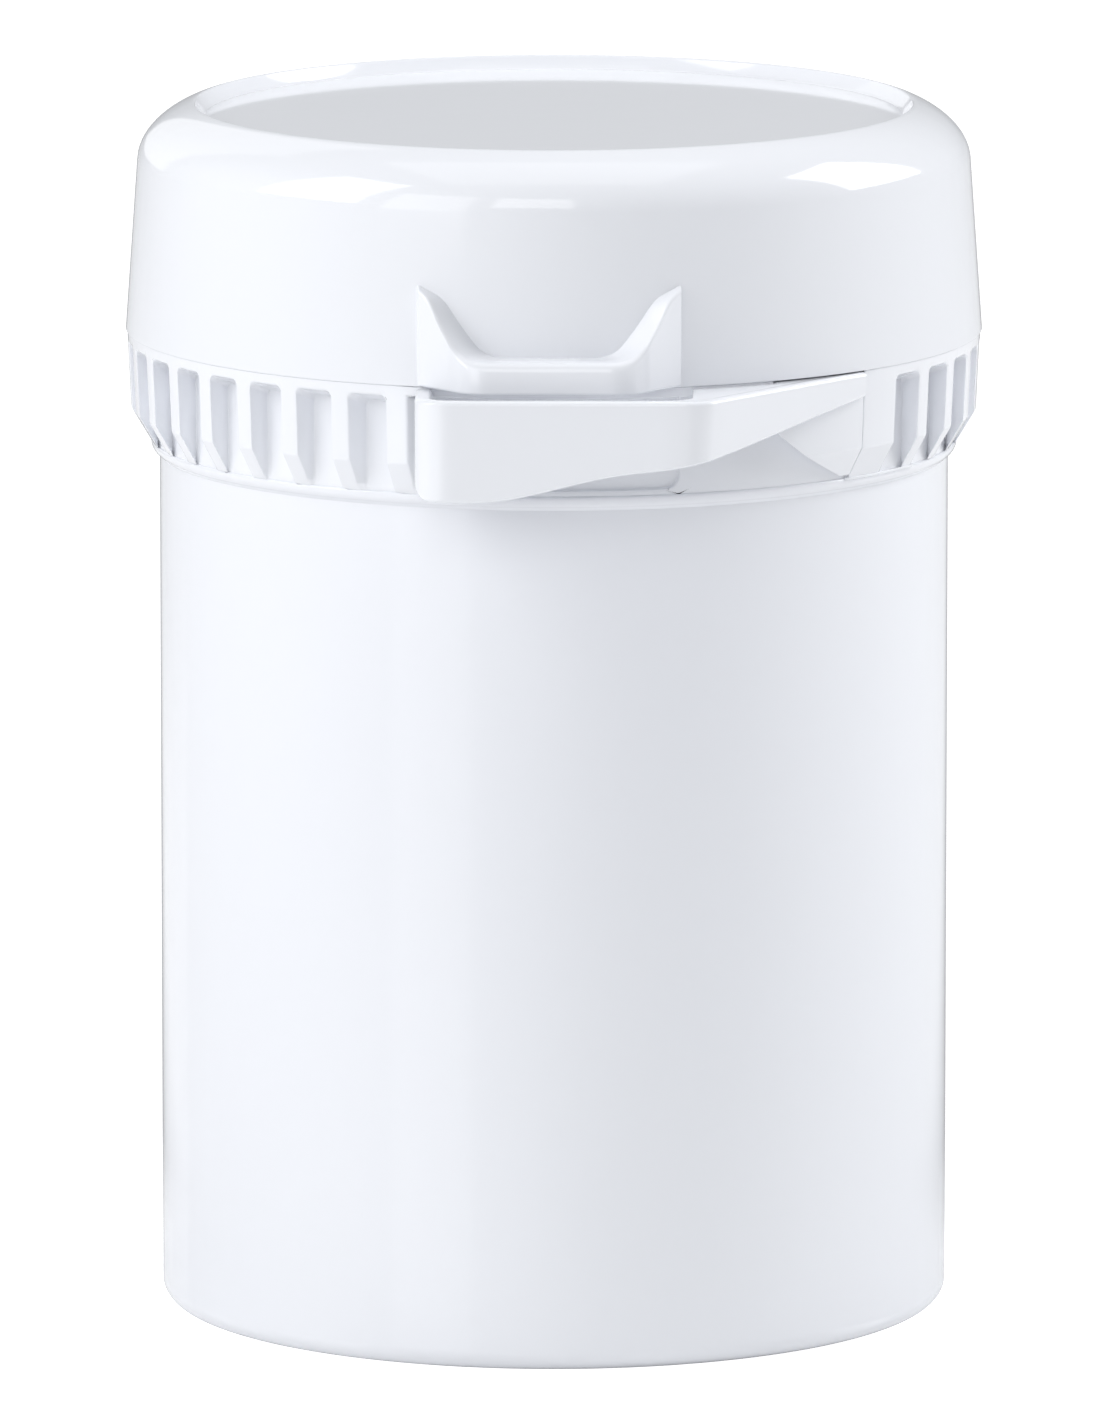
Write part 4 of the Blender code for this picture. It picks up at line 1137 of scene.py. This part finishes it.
def make_lights():
    """Pale surroundings, upright panels round the pot and one overhead."""
    world = bpy.data.worlds.new("studio")
    bpy.context.scene.world = world
    world.use_nodes = True
    backdrop = world.node_tree.nodes["Background"]
    backdrop.inputs["Color"].default_value = WORLD_COLOUR
    backdrop.inputs["Strength"].default_value = WORLD_STRENGTH
    for name, azimuth, distance, foot, top, width, power in PANELS:
        x, y = on_circle(distance, azimuth * DEG)
        light = panel(name, (x, y, (foot + top) / 2.0), (width, top - foot), power)
        light.rotation_euler = (90.0 * DEG, 0.0, azimuth * DEG)
    panel("top_panel", (0.0, 0.0, TOP_HEIGHT), (TOP_SIZE, TOP_SIZE), TOP_POWER)


def make_camera():
    """The photograph's own view."""
    data = bpy.data.cameras.new("camera")
    data.lens = CAMERA_LENS
    data.sensor_width = CAMERA_SENSOR
    data.shift_x = CAMERA_SHIFT
    data.clip_end = CAMERA_FAR
    camera = bpy.data.objects.new("camera", data)
    bpy.context.scene.collection.objects.link(camera)
    camera.location = (*on_circle(CAMERA_DISTANCE, CAMERA_TURN), CAMERA_HEIGHT)
    camera.rotation_euler = (90.0 * DEG - CAMERA_DIP, 0.0, CAMERA_TURN)
    bpy.context.scene.camera = camera


def main():
    """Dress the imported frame."""
    make_camera()
    make_floor()
    make_lights()
    bpy.context.scene.view_settings.view_transform = "Standard"
    skin = moulded_skin()
    pot_white = plastic("pot_white", skin, *POT_PLASTIC)
    closure_white = plastic("closure_white", skin, *CLOSURE_PLASTIC)
    for name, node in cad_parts.items():
        node.data.materials.clear()
        node.data.materials.append(pot_white if name == "pot" else closure_white)
    pot = turned("pot_body", pot_outline())
    smooth(pot)
    dress(pot, pot_white, "pot_and_collar", ["pot"])
    collar = make_collar()
    dress(collar, closure_white, "pot_and_collar", ["collar"])
    dress(make_lip(), closure_white, "pot_and_collar", ["collar"])
    dress(make_lid(), closure_white, "lid", ["lid"])
    dress(make_tab(), closure_white, "tear_tab", ["tear_tab"])
    for side, sign in (("left", -1.0), ("right", 1.0)):
        strap = make_strap(f"strap_{side}", sign * STRAP_SPACING / 2.0)
        strap.data.materials.append(closure_white)
        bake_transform(strap)
        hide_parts(f"hinge_{side}_collar_leaf", f"hinge_{side}_lid_leaf")


main()
